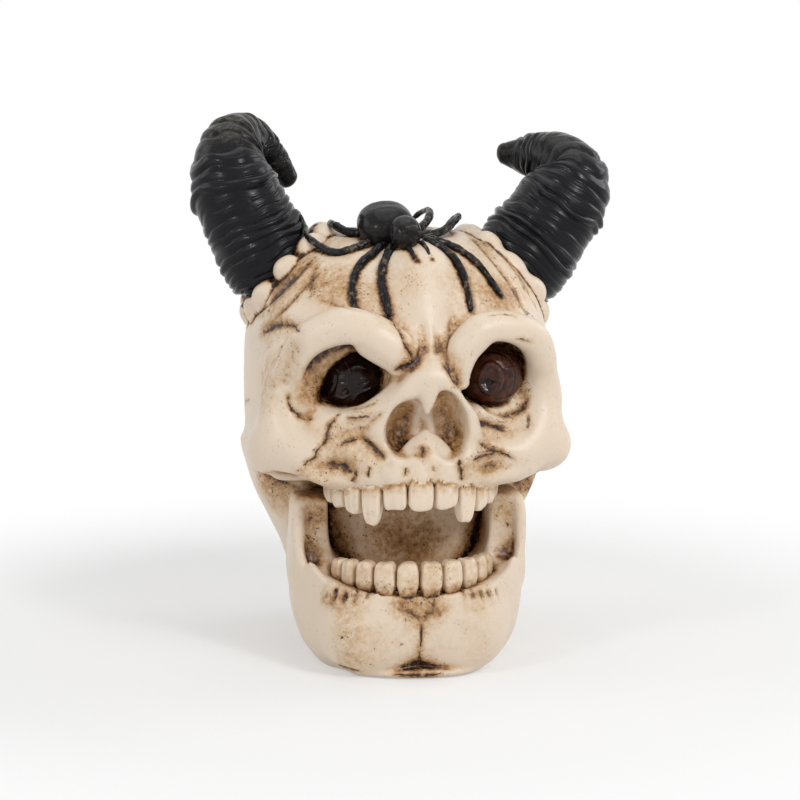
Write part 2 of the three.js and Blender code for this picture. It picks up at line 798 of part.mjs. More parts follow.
// The lower jaw: a horseshoe with two rising branches, cut to clear the skull.
function jawMass() {
  const jawFront = faceY - jawProud;
  const body = lump({
    centre: new THREE.Vector3(0, jawFront + jawLength / 2, (jawTop - jawRounding) / 2),
    radii: new THREE.Vector3(jawWidth / 2, jawLength / 2, (jawTop + jawRounding) / 2),
    squareness: jawSquareness,
    around: 32,
    along: 18,
  });
  const chin = Object.values(sides).map((side) =>
    lump({
      centre: new THREE.Vector3(
        (side * chinSpacing) / 2,
        jawFront - chinProud + chinLength / 2,
        (chinTop - chinRounding) / 2,
      ),
      radii: new THREE.Vector3(chinWidth / 2, chinLength / 2, (chinTop + chinRounding) / 2),
      squareness: chinSquareness,
    }),
  );
  const mouth = lump({
    centre: new THREE.Vector3(0, faceY, mouthFloor + mouthHeight / 2),
    radii: new THREE.Vector3(mouthWidth / 2, jawLength, mouthHeight / 2),
    squareness: mouthSquareness,
    around: 24,
  });
  const lip = lump({
    centre: new THREE.Vector3(0, faceY - lipProud, mouthFloor + mouthHeight / 2),
    radii: new THREE.Vector3(lipWidth / 2, lipProud + lipDepth, mouthHeight / 2),
    squareness: mouthSquareness,
    roundness: lipFlatness,
    around: 24,
    along: 14,
  });
  const tongueBack = neckFront + tongueSetBack;
  const tongueHeight = mouthFloor + mouthHeight - tongueFloor;
  const tongueSpace = lump({
    centre: new THREE.Vector3(0, tongueBack - tongueLength / 2, tongueFloor + tongueHeight / 2),
    radii: new THREE.Vector3(tongueWidth / 2, tongueLength / 2, tongueHeight / 2),
    squareness: tongueSquareness,
  });
  const behind = block(
    new THREE.Vector3(-far, faceY + jawHollowDepth - glueGap, -far),
    new THREE.Vector3(far, far, far),
  );
  return cutBy(joined([body, ...chin]), [mouth, lip, tongueSpace, behind, underBase(), grownSkull]);
}

const model = new THREE.Group();
model.name = "horned_skull";

const bone = new THREE.MeshStandardMaterial({ color: 0xe3d0b6, roughness: 0.5, metalness: 0 });
const ivory = new THREE.MeshStandardMaterial({ color: 0xe7d8ca, roughness: 0.4, metalness: 0 });
const blackHorn = new THREE.MeshStandardMaterial({ color: 0x25262a, roughness: 0.35, metalness: 0 });
const blackGloss = new THREE.MeshStandardMaterial({ color: 0x1c1c1f, roughness: 0.25, metalness: 0 });
const darkEye = new THREE.MeshStandardMaterial({ color: 0x3a1d15, roughness: 0.12, metalness: 0 });

function addPiece(name, solid, material) {
  const mesh = new THREE.Mesh(geometryOf(solid), material);
  mesh.name = name;
  model.add(mesh);
}

// The spider goes on last, so its body is whole, and each piece below is cut to clear those above.
const grownBody = [abdomen(glueGap), spiderHead(glueGap)];
const grownFangs = Object.values(fangRoutes).map((route) => fang(route, glueGap));
const grownLegs = Object.values(legRoutes).map((route) => leg(route, glueGap));
addPiece("spider_abdomen", abdomen().subtract(spiderHead(glueGap)), blackGloss);
addPiece("spider_head", spiderHead(), blackGloss);
for (const [name, route] of Object.entries(fangRoutes)) {
  addPiece(name, cutBy(fang(route), grownBody), blackGloss);
}
Object.entries(legRoutes).forEach(([name, route], i) => {
  addPiece(name, cutBy(leg(route), [...grownBody, ...grownFangs, ...grownLegs.slice(0, i)]), blackGloss);
});

const grownTenons = [];
for (const [sideName, side] of Object.entries(sides)) {
  addPiece(`horn_${sideName}`, cutBy(horn(side), grownLegs), blackHorn);
  const overCollar = [hornBar(side, glueGap), grownSkull, ...grownLegs];
  addPiece(`horn_collar_${sideName}`, cutBy(collarRing(side), overCollar), bone);
  addPiece(`eyeball_${sideName}`, eyeball(side), darkEye);
  grownTenons.push(hornTenon(side, glueGap));
}

for (const [name, place] of Object.entries({ ...upperTeeth, ...lowerTeeth })) {
  addPiece(name, tooth(place), ivory);
}

const grownUpperTeeth = Object.values(upperTeeth).map((place) => tooth({ ...place, grow: glueGap }));
const grownLowerTeeth = Object.values(lowerTeeth).map((place) => tooth({ ...place, grow: glueGap }));
const bothSides = Object.values(sides);
const openings = [...bothSides.map(socket), ...noseHollows.map(noseHollow)];
const overhangs = [...bothSides.map(browEnd), rightLid(), septum(), nasalSpine()];
const grownEyes = bothSides.map((side) => eyeBulk(side, glueGap));
const letIn = [...grownEyes, ...grownBody, ...grownFangs, ...grownLegs, ...grownTenons, ...grownUpperTeeth];
const openSkull = joined([cutBy(bareSkull, openings), ...overhangs]);
addPiece("skull", cutBy(openSkull, letIn), bone);
addPiece("lower_jaw", cutBy(jawMass(), grownLowerTeeth), bone);

export default model;
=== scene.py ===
"""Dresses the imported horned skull: antiqued bone resin, ridged horns, teeth, glossy eyes and a spider.

Sizes are in millimetres, and the figure's own right side has negative x. A place of two numbers is seen in
the camera's view, 800 wide and high, and lands on the surface there.
"""

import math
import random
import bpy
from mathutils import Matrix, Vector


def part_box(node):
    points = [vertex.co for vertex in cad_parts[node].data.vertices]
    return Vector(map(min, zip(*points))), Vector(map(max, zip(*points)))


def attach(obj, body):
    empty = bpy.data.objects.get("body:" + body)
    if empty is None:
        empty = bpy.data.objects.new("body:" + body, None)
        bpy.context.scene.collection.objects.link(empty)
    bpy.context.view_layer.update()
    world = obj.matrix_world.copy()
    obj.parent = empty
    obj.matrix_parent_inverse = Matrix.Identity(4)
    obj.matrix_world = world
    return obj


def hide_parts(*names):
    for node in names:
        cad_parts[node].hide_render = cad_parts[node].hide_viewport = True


bl_info = {
    "name": "Horned skull figurine",
    "version": (1, 0, 0),
    "blender": (4, 5, 0),
    "location": "View3D > Sidebar > Figurine",
    "description": "Builds the looks of the horned skull figurine around its packed solids",
    "category": "Object",
}

import bmesh
import bpy
import numpy as np
import openvdb
from bpy.props import FloatProperty, FloatVectorProperty, IntProperty, PointerProperty
from mathutils import Matrix, Vector, noise
from mathutils.bvhtree import BVHTree

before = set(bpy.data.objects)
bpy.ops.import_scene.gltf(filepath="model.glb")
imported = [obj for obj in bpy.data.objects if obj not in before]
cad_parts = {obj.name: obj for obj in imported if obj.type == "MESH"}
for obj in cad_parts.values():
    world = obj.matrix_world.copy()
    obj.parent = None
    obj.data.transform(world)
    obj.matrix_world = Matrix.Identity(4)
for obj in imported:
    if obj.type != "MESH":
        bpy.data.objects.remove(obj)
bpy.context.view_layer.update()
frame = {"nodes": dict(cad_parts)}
MM = 0.001
VIEW_SIZE = 800
SIDES = {"right": -1, "left": 1}


# The settings that a user would change.


def colour(name, description, default):
    return FloatVectorProperty(name=name, description=description, default=default, size=3, subtype="COLOR")


def measure(name, description, default, **limits):
    return FloatProperty(name=name, description=description, default=default, **limits)


class FigurineSkullSettings(bpy.types.PropertyGroup):
    """Sizes and colours of the bone-coloured resin and the eyes."""

    voxel: measure("Clay size", "Size of the clay's mesh cells in mm", 0.85, min=0.5, max=3)
    roughness: measure("Roughness", "Roughness of clean bone", 0.38, subtype="FACTOR")
    cream: colour("Bone", "Clean bone colour", (0.75, 0.622, 0.488))
    # The wash colours, tan to crack, also paint shade deep in recesses and under other pieces.
    tan: colour("Tan wash", "Thin wash", (0.47, 0.275, 0.125))
    brown: colour("Brown wash", "Thick wash in the hollows", (0.17, 0.075, 0.028))
    crack: colour("Cracks", "Wash in cracks and specks", (0.03, 0.0125, 0.007))
    eye_colour: colour("Eyes", "Colour of the eyeballs", (0.03, 0.0085, 0.0045))


class FigurineHornSettings(bpy.types.PropertyGroup):
    """Sizes and colours of the horns."""

    ridge_height: measure("Ridge height", "Height of the ridges in mm", 1.45, min=0)
    ridges: IntProperty(name="Ridges", description="Number of ridges on a horn", default=25, min=4)
    colour: colour("Horn", "Horn colour", (0.007, 0.007, 0.0085))
    # The dust colour also paints a highlight on the ridge tops near each horn's tip.
    dust: colour("Dust", "Khaki dusting on top", (0.11, 0.1, 0.06))


class FigurineSpiderSettings(bpy.types.PropertyGroup):
    """Sizes and colours of the spider."""

    leg_radius: measure("Leg radius", "Radius of a leg at the body in mm", 1.5, min=0.3)
    tip_radius: measure("Leg tip", "Radius of a leg at its tip in mm", 0.7, min=0.1)
    colour: colour("Spider", "Spider colour", (0.007, 0.007, 0.008))
    worn: colour("Worn", "Resin that shows where the black is rubbed off", (0.4, 0.28, 0.18))


class FigurineStageSettings(bpy.types.PropertyGroup):
    """The camera's place and the floor."""

    target: FloatVectorProperty(
        name="Target", description="Point the camera looks at, in mm", default=(1.0, -6.0, 75.5), size=3
    )
    azimuth: measure("Azimuth", "Camera's turn round the figure", math.radians(-8), subtype="ANGLE")
    elevation: measure("Elevation", "Camera's height above the horizon", math.radians(8), subtype="ANGLE")
    distance: measure("Distance", "Camera's distance in mm", 620.0)
    lens: measure("Lens", "Focal length", 90.0, unit="CAMERA")
    sensor: measure("Sensor", "Sensor width", 36.0, unit="CAMERA")
    floor: colour("Floor", "Floor colour", (0.9, 0.9, 0.9))


# Plain measuring: points, lines and distances.


def read_back(items, name, width, kind=float):
    """One property of all vertices or edges, a row for each."""
    values = np.empty(len(items) * width, kind)
    items.foreach_get(name, values)
    return values.reshape(-1, width)


def mesh_spots(mesh):
    return read_back(mesh.vertices, "co", 3) / MM


def mesh_normals(mesh):
    return read_back(mesh.vertices, "normal", 3)


def mesh_edges(mesh):
    return read_back(mesh.edges, "vertices", 2, np.int64)


def mesh_of(shape, name):
    """A new mesh from a bmesh, with its faces turned outwards."""
    bmesh.ops.recalc_face_normals(shape, faces=shape.faces)
    mesh = bpy.data.meshes.new(name)
    shape.to_mesh(mesh)
    shape.free()
    return mesh


def put_spots(mesh, spots):
    mesh.vertices.foreach_set("co", (spots * MM).ravel())
    mesh.update()


def put_values(mesh, name, values, low=0.0, high=1.0):
    """Gives each vertex a value that a material can read."""
    attribute = mesh.attributes.get(name) or mesh.attributes.new(name, "FLOAT", "POINT")
    attribute.data.foreach_set("value", np.clip(values, low, high).astype(np.float32))


def moved_out(mesh, heights):
    """Moves each vertex along its normal by a height of its own."""
    put_spots(mesh, mesh_spots(mesh) + mesh_normals(mesh) * heights[:, None])


def roughened(mesh, height, size, seed, sink=0.0):
    """Makes a surface a little uneven, with bumps of about one size."""
    moved_out(mesh, height * rough(mesh_spots(mesh), size, seed) - sink)


def node_box(name):
    """The corners of a CAD node's box."""
    low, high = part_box(name)
    return np.array(low) / MM, np.array(high) / MM


def kept_inside(mesh, name):
    """Draws a mesh in along each axis where it reaches out of its CAD node's box."""
    low, high = node_box(name)
    spots = mesh_spots(mesh)
    near, far = spots.min(0), spots.max(0)
    share = (spots - near) / (far - near)
    put_spots(mesh, np.maximum(near, low) + share * (np.minimum(far, high) - np.maximum(near, low)))


def evened(values, edges, times, share=0.5):
    """Values per vertex, each drawn towards the mean of its neighbours a number of times."""
    count = np.bincount(edges.ravel(), minlength=len(values)).clip(1)
    flat = values.reshape(len(values), -1)
    for _ in range(times):
        total = np.empty_like(flat)
        for k in range(flat.shape[1]):
            ahead = np.bincount(edges[:, 0], flat[edges[:, 1], k], len(flat))
            total[:, k] = ahead + np.bincount(edges[:, 1], flat[edges[:, 0], k], len(flat))
        flat = flat + share * (total / count[:, None] - flat)
    return flat.reshape(values.shape)


def smooth_line(points, step=1.0):
    """A line of points drawn as a smooth curve through them, in steps of about one size."""
    points = np.asarray(points, float)
    if len(points) == 2:
        count = max(2, int(np.linalg.norm(points[1] - points[0]) / step))
        return points[0] + np.linspace(0, 1, count + 1)[:, None] * (points[1] - points[0])
    padded = np.vstack([2 * points[0] - points[1], points, 2 * points[-1] - points[-2]])
    drawn = [points[:1]]
    for a, b, c, d in zip(padded, padded[1:], padded[2:], padded[3:]):
        count = max(2, int(np.ceil(np.linalg.norm((c - b)[:3]) / step)))
        t = np.linspace(0, 1, count + 1)[1:, None]
        bend = (2 * a - 5 * b + 4 * c - d) * t**2 + (3 * b - a - 3 * c + d) * t**3
        drawn.append(0.5 * (2 * b + (c - a) * t + bend))
    return np.vstack(drawn)


def line_shares(line):
    """How far along a line each of its points lies, from 0 to 1."""
    reach = np.concatenate([[0], np.cumsum(np.linalg.norm(np.diff(line[:, :3], axis=0), axis=1))])
    return reach / max(reach[-1], 1e-9)


def rough(spots, size, seed=0, octaves=3):
    """Soft noise from -1 to 1 at each point, with features of about one size."""
    shift = Vector((17.3 * seed, -9.1 * seed, 4.7 * seed))
    return np.array([noise.fractal(Vector(spot) / size + shift, 1.0, 2.0, octaves) for spot in spots])


def turned(x=0.0, y=0.0, z=0.0):
    """A turn about the axes x, y and z in degrees, the one about z first."""
    turn = Matrix.Identity(3)
    for angle, axis in ((x, "X"), (y, "Y"), (z, "Z")):
        turn = turn @ Matrix.Rotation(math.radians(angle), 3, axis)
    return np.array(turn)


# Clay: a form is a function that gives each point's distance from its surface, negative inside.

BLOCK = 8
BLOCKS_AT_ONCE = 500
ROPE_STEP = 2.5
ROPE_ROOM = 14
FAR_AWAY = 60.0


def ball(spots, centre, radii, turn=None, squareness=2.0, roundness=None):
    """Distance from an ellipsoid, or with a squareness above 2 from a rounded box."""
    roundness = roundness or squareness
    local = spots - np.asarray(centre, float)
    if turn is not None:
        local = local @ turn
    unit = np.abs(local) / np.asarray(radii, float) + 1e-6
    across = (unit[:, 0] ** squareness + unit[:, 2] ** squareness) ** (1 / squareness)
    size = (across**roundness + unit[:, 1] ** roundness) ** (1 / roundness)
    steep = across ** (roundness - squareness) * size ** (1 - roundness)
    slope = (
        steep * unit[:, 0] ** (squareness - 1) / radii[0],
        unit[:, 1] ** (roundness - 1) * size ** (1 - roundness) / radii[1],
        steep * unit[:, 2] ** (squareness - 1) / radii[2],
    )
    return (size - 1) / np.linalg.norm(slope, axis=0)


def rope(spots, line):
    """Distance from a rope along a line of (x, y, z, radius)."""
    line = smooth_line(line, ROPE_STEP)
    far = np.full(len(spots), FAR_AWAY)
    room = line[:, 3].max() + ROPE_ROOM
    near = np.all((spots > line[:, :3].min(0) - room) & (spots < line[:, :3].max(0) + room), axis=1)
    close = spots[near]
    best = far[near]
    for start, end in zip(line, line[1:]):
        along = end[:3] - start[:3]
        share = np.clip(((close - start[:3]) @ along) / (along @ along), 0, 1)
        gap = np.linalg.norm(close - start[:3] - share[:, None] * along, axis=1)
        np.minimum(best, gap - start[3] - share * (end[3] - start[3]), out=best)
    far[near] = best
    return far


def joined(a, b, reach):
    """Two forms as one, with a fillet about as wide as the reach between them."""
    share = np.clip(0.5 + 0.5 * (b - a) / reach, 0, 1)
    return b + (a - b) * share - reach * share * (1 - share)


def carved(a, b, reach):
    """The first form with the second cut out of it, its edge rounded over the reach."""
    return -joined(-a, b, reach)


def beside(side, middle, line):
    """A line given from a middle point as outwards, backwards, upwards and radius, on one side."""
    x, y, z = middle
    return [(x + side * out, y + back, z + up, radius) for out, back, up, radius in line]


def pressed_on(mesh, form, times):
    """Evens out the mesh and moves its vertices along their normals back on to the form's surface."""
    edges = mesh_edges(mesh)
    spots = mesh_spots(mesh)
    for _ in range(times):
        spots = evened(spots, edges, 1, 0.4)
        put_spots(mesh, spots)
        spots = spots - 0.9 * np.clip(form(spots), -1, 1)[:, None] * mesh_normals(mesh)
    put_spots(mesh, spots)


def grid_places(counts):
    """Every whole-numbered place in a box of cells."""
    return np.stack(np.meshgrid(*(np.arange(n) for n in counts), indexing="ij"), -1).reshape(-1, 3)


def modelled(form, low, high, voxel):
    """A closed mesh of even quads on the surface of a clay form that lies between two corners."""
    low = np.asarray(low, float)
    size = BLOCK * voxel
    counts = np.ceil((np.asarray(high, float) - low) / size).astype(int)
    places = grid_places(counts)
    gaps = form(low + (places + 0.5) * size)
    values = np.empty(counts * BLOCK, np.float32)
    cells = values.reshape(counts[0], BLOCK, counts[1], BLOCK, counts[2], BLOCK).transpose(0, 2, 4, 1, 3, 5)
    cells[tuple(places.T)] = np.clip(gaps, -size, size)[:, None, None, None]
    inside = grid_places([BLOCK] * 3) * voxel
    near = places[np.abs(gaps) < 1.5 * size]
    for start in range(0, len(near), BLOCKS_AT_ONCE):
        some = near[start : start + BLOCKS_AT_ONCE]
        spots = (low + some * size)[:, None] + inside[None]
        cells[tuple(some.T)] = form(spots.reshape(-1, 3)).reshape(-1, BLOCK, BLOCK, BLOCK)
    clay = openvdb.FloatGrid(size)
    clay.copyFromArray(values)
    clay.transform = openvdb.createLinearTransform(voxelSize=voxel)
    spots, faces = clay.convertToQuads(isovalue=0.0)
    quads = bpy.data.meshes.new("quads")
    quads.from_pydata(((spots + low) * MM).tolist(), [], faces.tolist())
    shape = bmesh.new()
    shape.from_mesh(quads)
    bpy.data.meshes.remove(quads)
    mesh = mesh_of(shape, "clay")
    pressed_on(mesh, form, 3)
    return mesh


# The camera's view, through which lines are drawn on to a surface.

SEAM_REACH = 3.0
STAIN_REACH = 2.2
STAIN_WIDTH = 2.4
LINE_TAPER = 0.22


def view_basis(stage):
    """The view's directions back to the eye, right and up."""
    level = math.cos(stage.elevation)
    back = Vector(
        (math.sin(stage.azimuth) * level, -math.cos(stage.azimuth) * level, math.sin(stage.elevation))
    )
    right = Vector((math.cos(stage.azimuth), math.sin(stage.azimuth), 0))
    return back, right, back.cross(right)


def view_ray(stage, across, down):
    """The eye and the direction in which a place in the view is seen."""
    back, right, up = view_basis(stage)
    reach = VIEW_SIZE * stage.lens / stage.sensor
    aim = -back + right * (across - VIEW_SIZE / 2) / reach - up * (down - VIEW_SIZE / 2) / reach
    return Vector(stage.target) + back * stage.distance, aim.normalized()


def tree_of(*meshes):
    """A tree for rays over meshes."""
    spots, faces = [], []
    for mesh in meshes:
        start = len(spots)
        spots.extend(mesh_spots(mesh).tolist())
        faces.extend([start + v for v in face.vertices] for face in mesh.polygons)
    return BVHTree.FromPolygons(spots, faces)


def seen_on(tree, places):
    """Where places in the view land on a surface; a place that misses is left out."""
    stage = bpy.context.scene.figurine_stage
    hits = [tree.ray_cast(*view_ray(stage, across, down))[0] for across, down in places]
    return np.array([spot for spot in hits if spot is not None]).reshape(-1, 3)


def line_on(tree, places):
    """A smooth line on a surface, through places in the view or near points on the part."""
    if len(places[0]) == 2:
        return seen_on(tree, smooth_line(places, 2.0))
    return np.array([tree.find_nearest(Vector(spot))[0] for spot in smooth_line(places, 1.0)])


def sculpted(mesh, strokes, seed):
    """Cuts grooves and raises ridges along lines, and gives back the stain that settles in them.

    A stroke is (half width, height, stain, places).
    A groove also leaves a seam: how far each vertex near it lies to its left or right, and how dark it is.
    """
    tree = tree_of(mesh)
    spots, normals = mesh_spots(mesh), mesh_normals(mesh)
    moved = np.zeros(len(spots))
    stain = np.zeros(len(spots))
    seam = np.full(len(spots), SEAM_REACH)
    dark_seam = np.zeros(len(spots))
    dice = random.Random(seed)
    for width, height, dark, places in strokes:
        line = line_on(tree, places)
        if len(line) < 2:
            continue
        shares = line_shares(line)
        taper = np.clip(np.minimum(shares, 1 - shares) / LINE_TAPER, 0.1, 1)
        taper = taper * np.array([dice.uniform(0.8, 1.15) for _ in shares])
        reach = max(STAIN_WIDTH * width, SEAM_REACH)
        near = np.flatnonzero(np.all((spots > line.min(0) - reach) & (spots < line.max(0) + reach), axis=1))
        apart = spots[near, None] - line[None]
        closest = np.linalg.norm(apart, axis=2).argmin(1)
        apart = apart[np.arange(len(near)), closest]
        gap = np.linalg.norm(apart, axis=1)
        press = np.clip(1 - (gap / width) ** 2, 0, 1) ** 1.5 * taper[closest]
        moved[near] += height * press
        spread = np.clip(1 - (gap / max(STAIN_WIDTH * width, STAIN_REACH)) ** 2, 0, 1) ** 2 * taper[closest]
        stain[near] = np.maximum(stain[near], dark * (0.36 * spread + 0.2 * press))
        if height < 0:
            aside = np.cross(np.gradient(line, axis=0)[closest], normals[near])
            aside /= np.linalg.norm(aside, axis=1)[:, None] + 1e-9
            side = (apart * aside).sum(1)
            side = side + np.clip(gap - np.abs(side) - 1.2, 0, None)
            better = np.abs(side) < np.abs(seam[near])
            seam[near[better]] = side[better]
            dark_seam[near[better]] = (dark * taper[closest])[better]
    moved_out(mesh, moved)
    put_values(mesh, "seam", seam, -SEAM_REACH, SEAM_REACH)
    put_values(mesh, "seam_dark", dark_seam)
    return stain


def without_seams(mesh):
    put_values(mesh, "seam", np.full(len(mesh.vertices), SEAM_REACH), high=SEAM_REACH)


def painted(mesh, patches):
    """Wash added or wiped away in round patches of (place in the view or point, radius, amount); some
    patches are painted shade.
    """
    tree = tree_of(mesh)
    spots = mesh_spots(mesh)
    total = np.zeros(len(spots))
    for place, radius, amount in patches:
        middle = seen_on(tree, [place]) if len(place) == 2 else np.array([place], float)
        if len(middle):
            gap = np.linalg.norm(spots - middle[0], axis=1) / radius
            total += amount * np.clip(1 - gap**2, 0, 1) ** 1.5
    return total


def shelter(mesh, tree, reach, rays=14):
    """How much of the sky near each vertex is hidden, from 0 in the open to 1 deep in a hollow."""
    golden = math.pi * (3 - math.sqrt(5))
    fan = []
    for i in range(rays):
        height = math.sqrt(1 - (i + 0.5) / rays)
        level = math.sqrt(1 - height * height)
        fan.append((level * math.cos(golden * i), level * math.sin(golden * i), height))
    hidden = np.zeros(len(mesh.vertices))
    for i, (spot, normal) in enumerate(zip(mesh_spots(mesh), mesh_normals(mesh))):
        normal = Vector(normal)
        side = normal.orthogonal().normalized()
        other = normal.cross(side)
        start = Vector(spot) + normal * 0.25
        for x, y, z in fan:
            gap = tree.ray_cast(start, side * x + other * y + normal * z, reach)[3]
            if gap is not None:
                hidden[i] += 1 - gap / reach
    return hidden / rays


def hollows(mesh, times):
    """How far each vertex lies below its smoothed surroundings."""
    spots = mesh_spots(mesh)
    away = evened(spots, mesh_edges(mesh), times) - spots
    return (away * mesh_normals(mesh)).sum(1)


def raised(mesh, times, height):
    """How far each vertex stands out of its smoothed surroundings, up to 1 at a height."""
    return np.clip(-hollows(mesh, times) / height, 0, 1)


def wash_and_shade(mesh, tree, lines, patches, depth=1.0):
    """Where the brown antique wash stays, in hollows, along lines and in patches, with painted shade deep in
    recesses and under other pieces, where the sky is hidden.
    """
    fine = np.clip(hollows(mesh, 6) / 0.16, 0, 1)
    wide = np.clip(hollows(mesh, 60) / 1.1, -0.25, 1)
    # Painted shade mixed into the wash: darker where the sky is hidden, deep in recesses and close under
    # other pieces.
    deep = np.clip(shelter(mesh, tree, 18.0) - 0.14, 0, 1)
    near = np.clip(shelter(mesh, tree, 4.0, 10) - 0.1, 0, 1)
    amount = 0.16 * fine + 0.42 * wide + depth * (1.6 * deep + near)
    amount = amount + 0.14 * rough(mesh_spots(mesh), 9.0, 3)
    settled = evened(np.maximum(amount, 0), mesh_edges(mesh), 1)
    both = np.maximum(settled, lines) + 0.35 * np.minimum(settled, lines)
    put_values(mesh, "wash_and_shade", both + patches)


# Materials.

WASH_AND_SHADE_STOPS = (0.06, 0.26, 0.52, 0.82, 1.0)
WASH_ROUGHNESS = 0.27
PUPIL_BLACK = (0.006, 0.003, 0.002)


class Nodes:
    """Adds nodes to a tree; most methods give back the new node's output."""

    def __init__(self, tree):
        self.tree = tree
        tree.nodes.clear()

    def add(self, kind, inputs=None, **values):
        node = self.tree.nodes.new(kind)
        for key, value in values.items():
            setattr(node, key, value)
        self.feed(node, inputs or {})
        return node

    def feed(self, node, inputs):
        """Sets a node's inputs to values, or links them where an output is given."""
        for key, value in inputs.items():
            if isinstance(value, bpy.types.NodeSocket):
                self.tree.links.new(value, node.inputs[key])
            else:
                node.inputs[key].default_value = value

    def value(self, name):
        """A value that the mesh holds for each vertex."""
        return self.add("ShaderNodeAttribute", attribute_name=name).outputs["Fac"]

    def maths(self, operation, a, b=0.0, clamp=False):
        return self.add("ShaderNodeMath", {0: a, 1: b}, operation=operation, use_clamp=clamp).outputs[0]

    def plus(self, a, b, clamp=False):
        return self.maths("ADD", a, b, clamp)

    def minus(self, a, b):
        return self.maths("SUBTRACT", a, b)

    def times(self, a, b, clamp=False):
        return self.maths("MULTIPLY", a, b, clamp)

    def larger(self, a, b):
        return self.maths("MAXIMUM", a, b)

    def swing(self, level, height):
        """A level from 0 to 1 made a swing about 0."""
        return self.times(self.minus(level, 0.5), height)

    def noise(self, size, detail=3.0, rough_share=0.55):
        """Noise with features of about one size."""
        inputs = {"Vector": self.where, "Scale": 1 / (size * MM), "Detail": detail, "Roughness": rough_share}
        return self.add("ShaderNodeTexNoise", inputs).outputs["Fac"]

    def level(self, value, low, high):
        """A level that rises from 0 at low to 1 at high."""
        inputs = {"Value": value, "From Min": low, "From Max": high}
        return self.add("ShaderNodeMapRange", inputs, interpolation_type="SMOOTHSTEP").outputs[0]

    def spread(self, level, low, high):
        """A level from 0 to 1 spread from low to high."""
        return self.add("ShaderNodeMapRange", {"Value": level, "To Min": low, "To Max": high}).outputs[0]

    def mixed(self, share, under, over):
        return self.add("ShaderNodeMix", {0: share, 6: under, 7: (*over, 1)}, data_type="RGBA").outputs[2]

    def ramp(self, level, stops):
        """A colour ramp through (place, colour) stops."""
        node = self.add("ShaderNodeValToRGB", {"Fac": level})
        while len(node.color_ramp.elements) < len(stops):
            node.color_ramp.elements.new(0.5)
        for element, (place, shade) in zip(node.color_ramp.elements, stops):
            element.position = place
            element.color = (*shade, 1)
        return node.outputs["Color"]

    def bump(self, height, strength, distance):
        inputs = {"Height": height, "Strength": strength, "Distance": distance * MM}
        return self.add("ShaderNodeBump", inputs).outputs[0]

    def shaders_mixed(self, share, a, b):
        return self.add("ShaderNodeMixShader", {0: share, 1: a.outputs[0], 2: b.outputs[0]}).outputs[0]

    def seen_directly(self):
        """1 for rays from the camera and for the ones that mirrors and glass send on, else 0."""
        path = self.add("ShaderNodeLightPath").outputs
        both = self.larger(path["Is Camera Ray"], path["Is Glossy Ray"])
        return self.larger(both, path["Is Transmission Ray"])


def new_material(name):
    """A new material's nodes and its shader."""
    material = bpy.data.materials.new(name)
    material.use_nodes = True
    nodes = Nodes(material.node_tree)
    nodes.where = nodes.add("ShaderNodeTexCoord").outputs["Object"]
    shader = nodes.add("ShaderNodeBsdfPrincipled")
    nodes.output = nodes.add("ShaderNodeOutputMaterial", {"Surface": shader.outputs["BSDF"]})
    nodes.material = material
    return nodes, shader


def scaled(shade, share):
    return tuple(share * c for c in shade)


def crack_line(nodes):
    """Thin jagged lines along the carved seams, broken here and there."""
    wander = nodes.plus(nodes.value("seam"), nodes.swing(nodes.noise(2.6, 3, 0.6), 1.8))
    jagged = nodes.plus(wander, nodes.swing(nodes.noise(0.8, 3, 0.6), 1.1))
    broad = nodes.times(nodes.noise(3, 2), 1.15)
    line = nodes.minus(1.0, nodes.level(nodes.maths("ABSOLUTE", jagged), 0.08, broad))
    broken = nodes.level(nodes.noise(1.9, 3, 0.6), 0.36, 0.46)
    return nodes.times(nodes.times(line, broken), nodes.level(nodes.value("seam_dark"), 0.36, 0.75))


def sprinkled(nodes, amount):
    """Fine specks and larger flecks in fields of their own, more of them where the wash is."""
    speck = nodes.level(nodes.noise(0.75, 2, 0.5), 0.62, 0.67)
    speck_field = nodes.level(nodes.noise(7.5, 3, 0.6), 0.47, 0.64)
    fleck = nodes.level(nodes.noise(1.6, 3, 0.65), 0.65, 0.69)
    fleck_field = nodes.level(nodes.noise(13, 2), 0.5, 0.6)
    both = nodes.larger(nodes.times(speck, speck_field), nodes.times(fleck, fleck_field))
    return nodes.times(both, nodes.plus(nodes.level(amount, 0.05, 0.4), 0.18), True)


def bone_material(name, colours, roughness):
    """Cream resin with a golden brown wash and painted shade in its hollows, thin jagged cracks and
    scattered specks.
    """
    nodes, shader = new_material(name)
    washed_and_shaded = nodes.value("wash_and_shade")
    grain = nodes.noise(1.6, 4, 0.7)
    broken_wash = nodes.times(nodes.swing(grain, 1.7), nodes.plus(washed_and_shaded, 0.16))
    amount = nodes.plus(nodes.plus(washed_and_shaded, broken_wash), nodes.swing(nodes.noise(10, 5, 0.6), 0.5), True)
    line = crack_line(nodes)
    specks = sprinkled(nodes, amount)
    base = nodes.mixed(line, nodes.ramp(amount, list(zip(WASH_AND_SHADE_STOPS, colours))), colours[-1])
    height = nodes.minus(grain, nodes.times(nodes.larger(line, specks), 1.4))
    finish = {
        "Base Color": nodes.mixed(specks, base, colours[-1]),
        "Roughness": nodes.spread(amount, roughness, WASH_ROUGHNESS),
        "Normal": nodes.bump(height, 0.35, 0.2),
        "Specular IOR Level": 0.4,
    }
    nodes.feed(shader, finish)


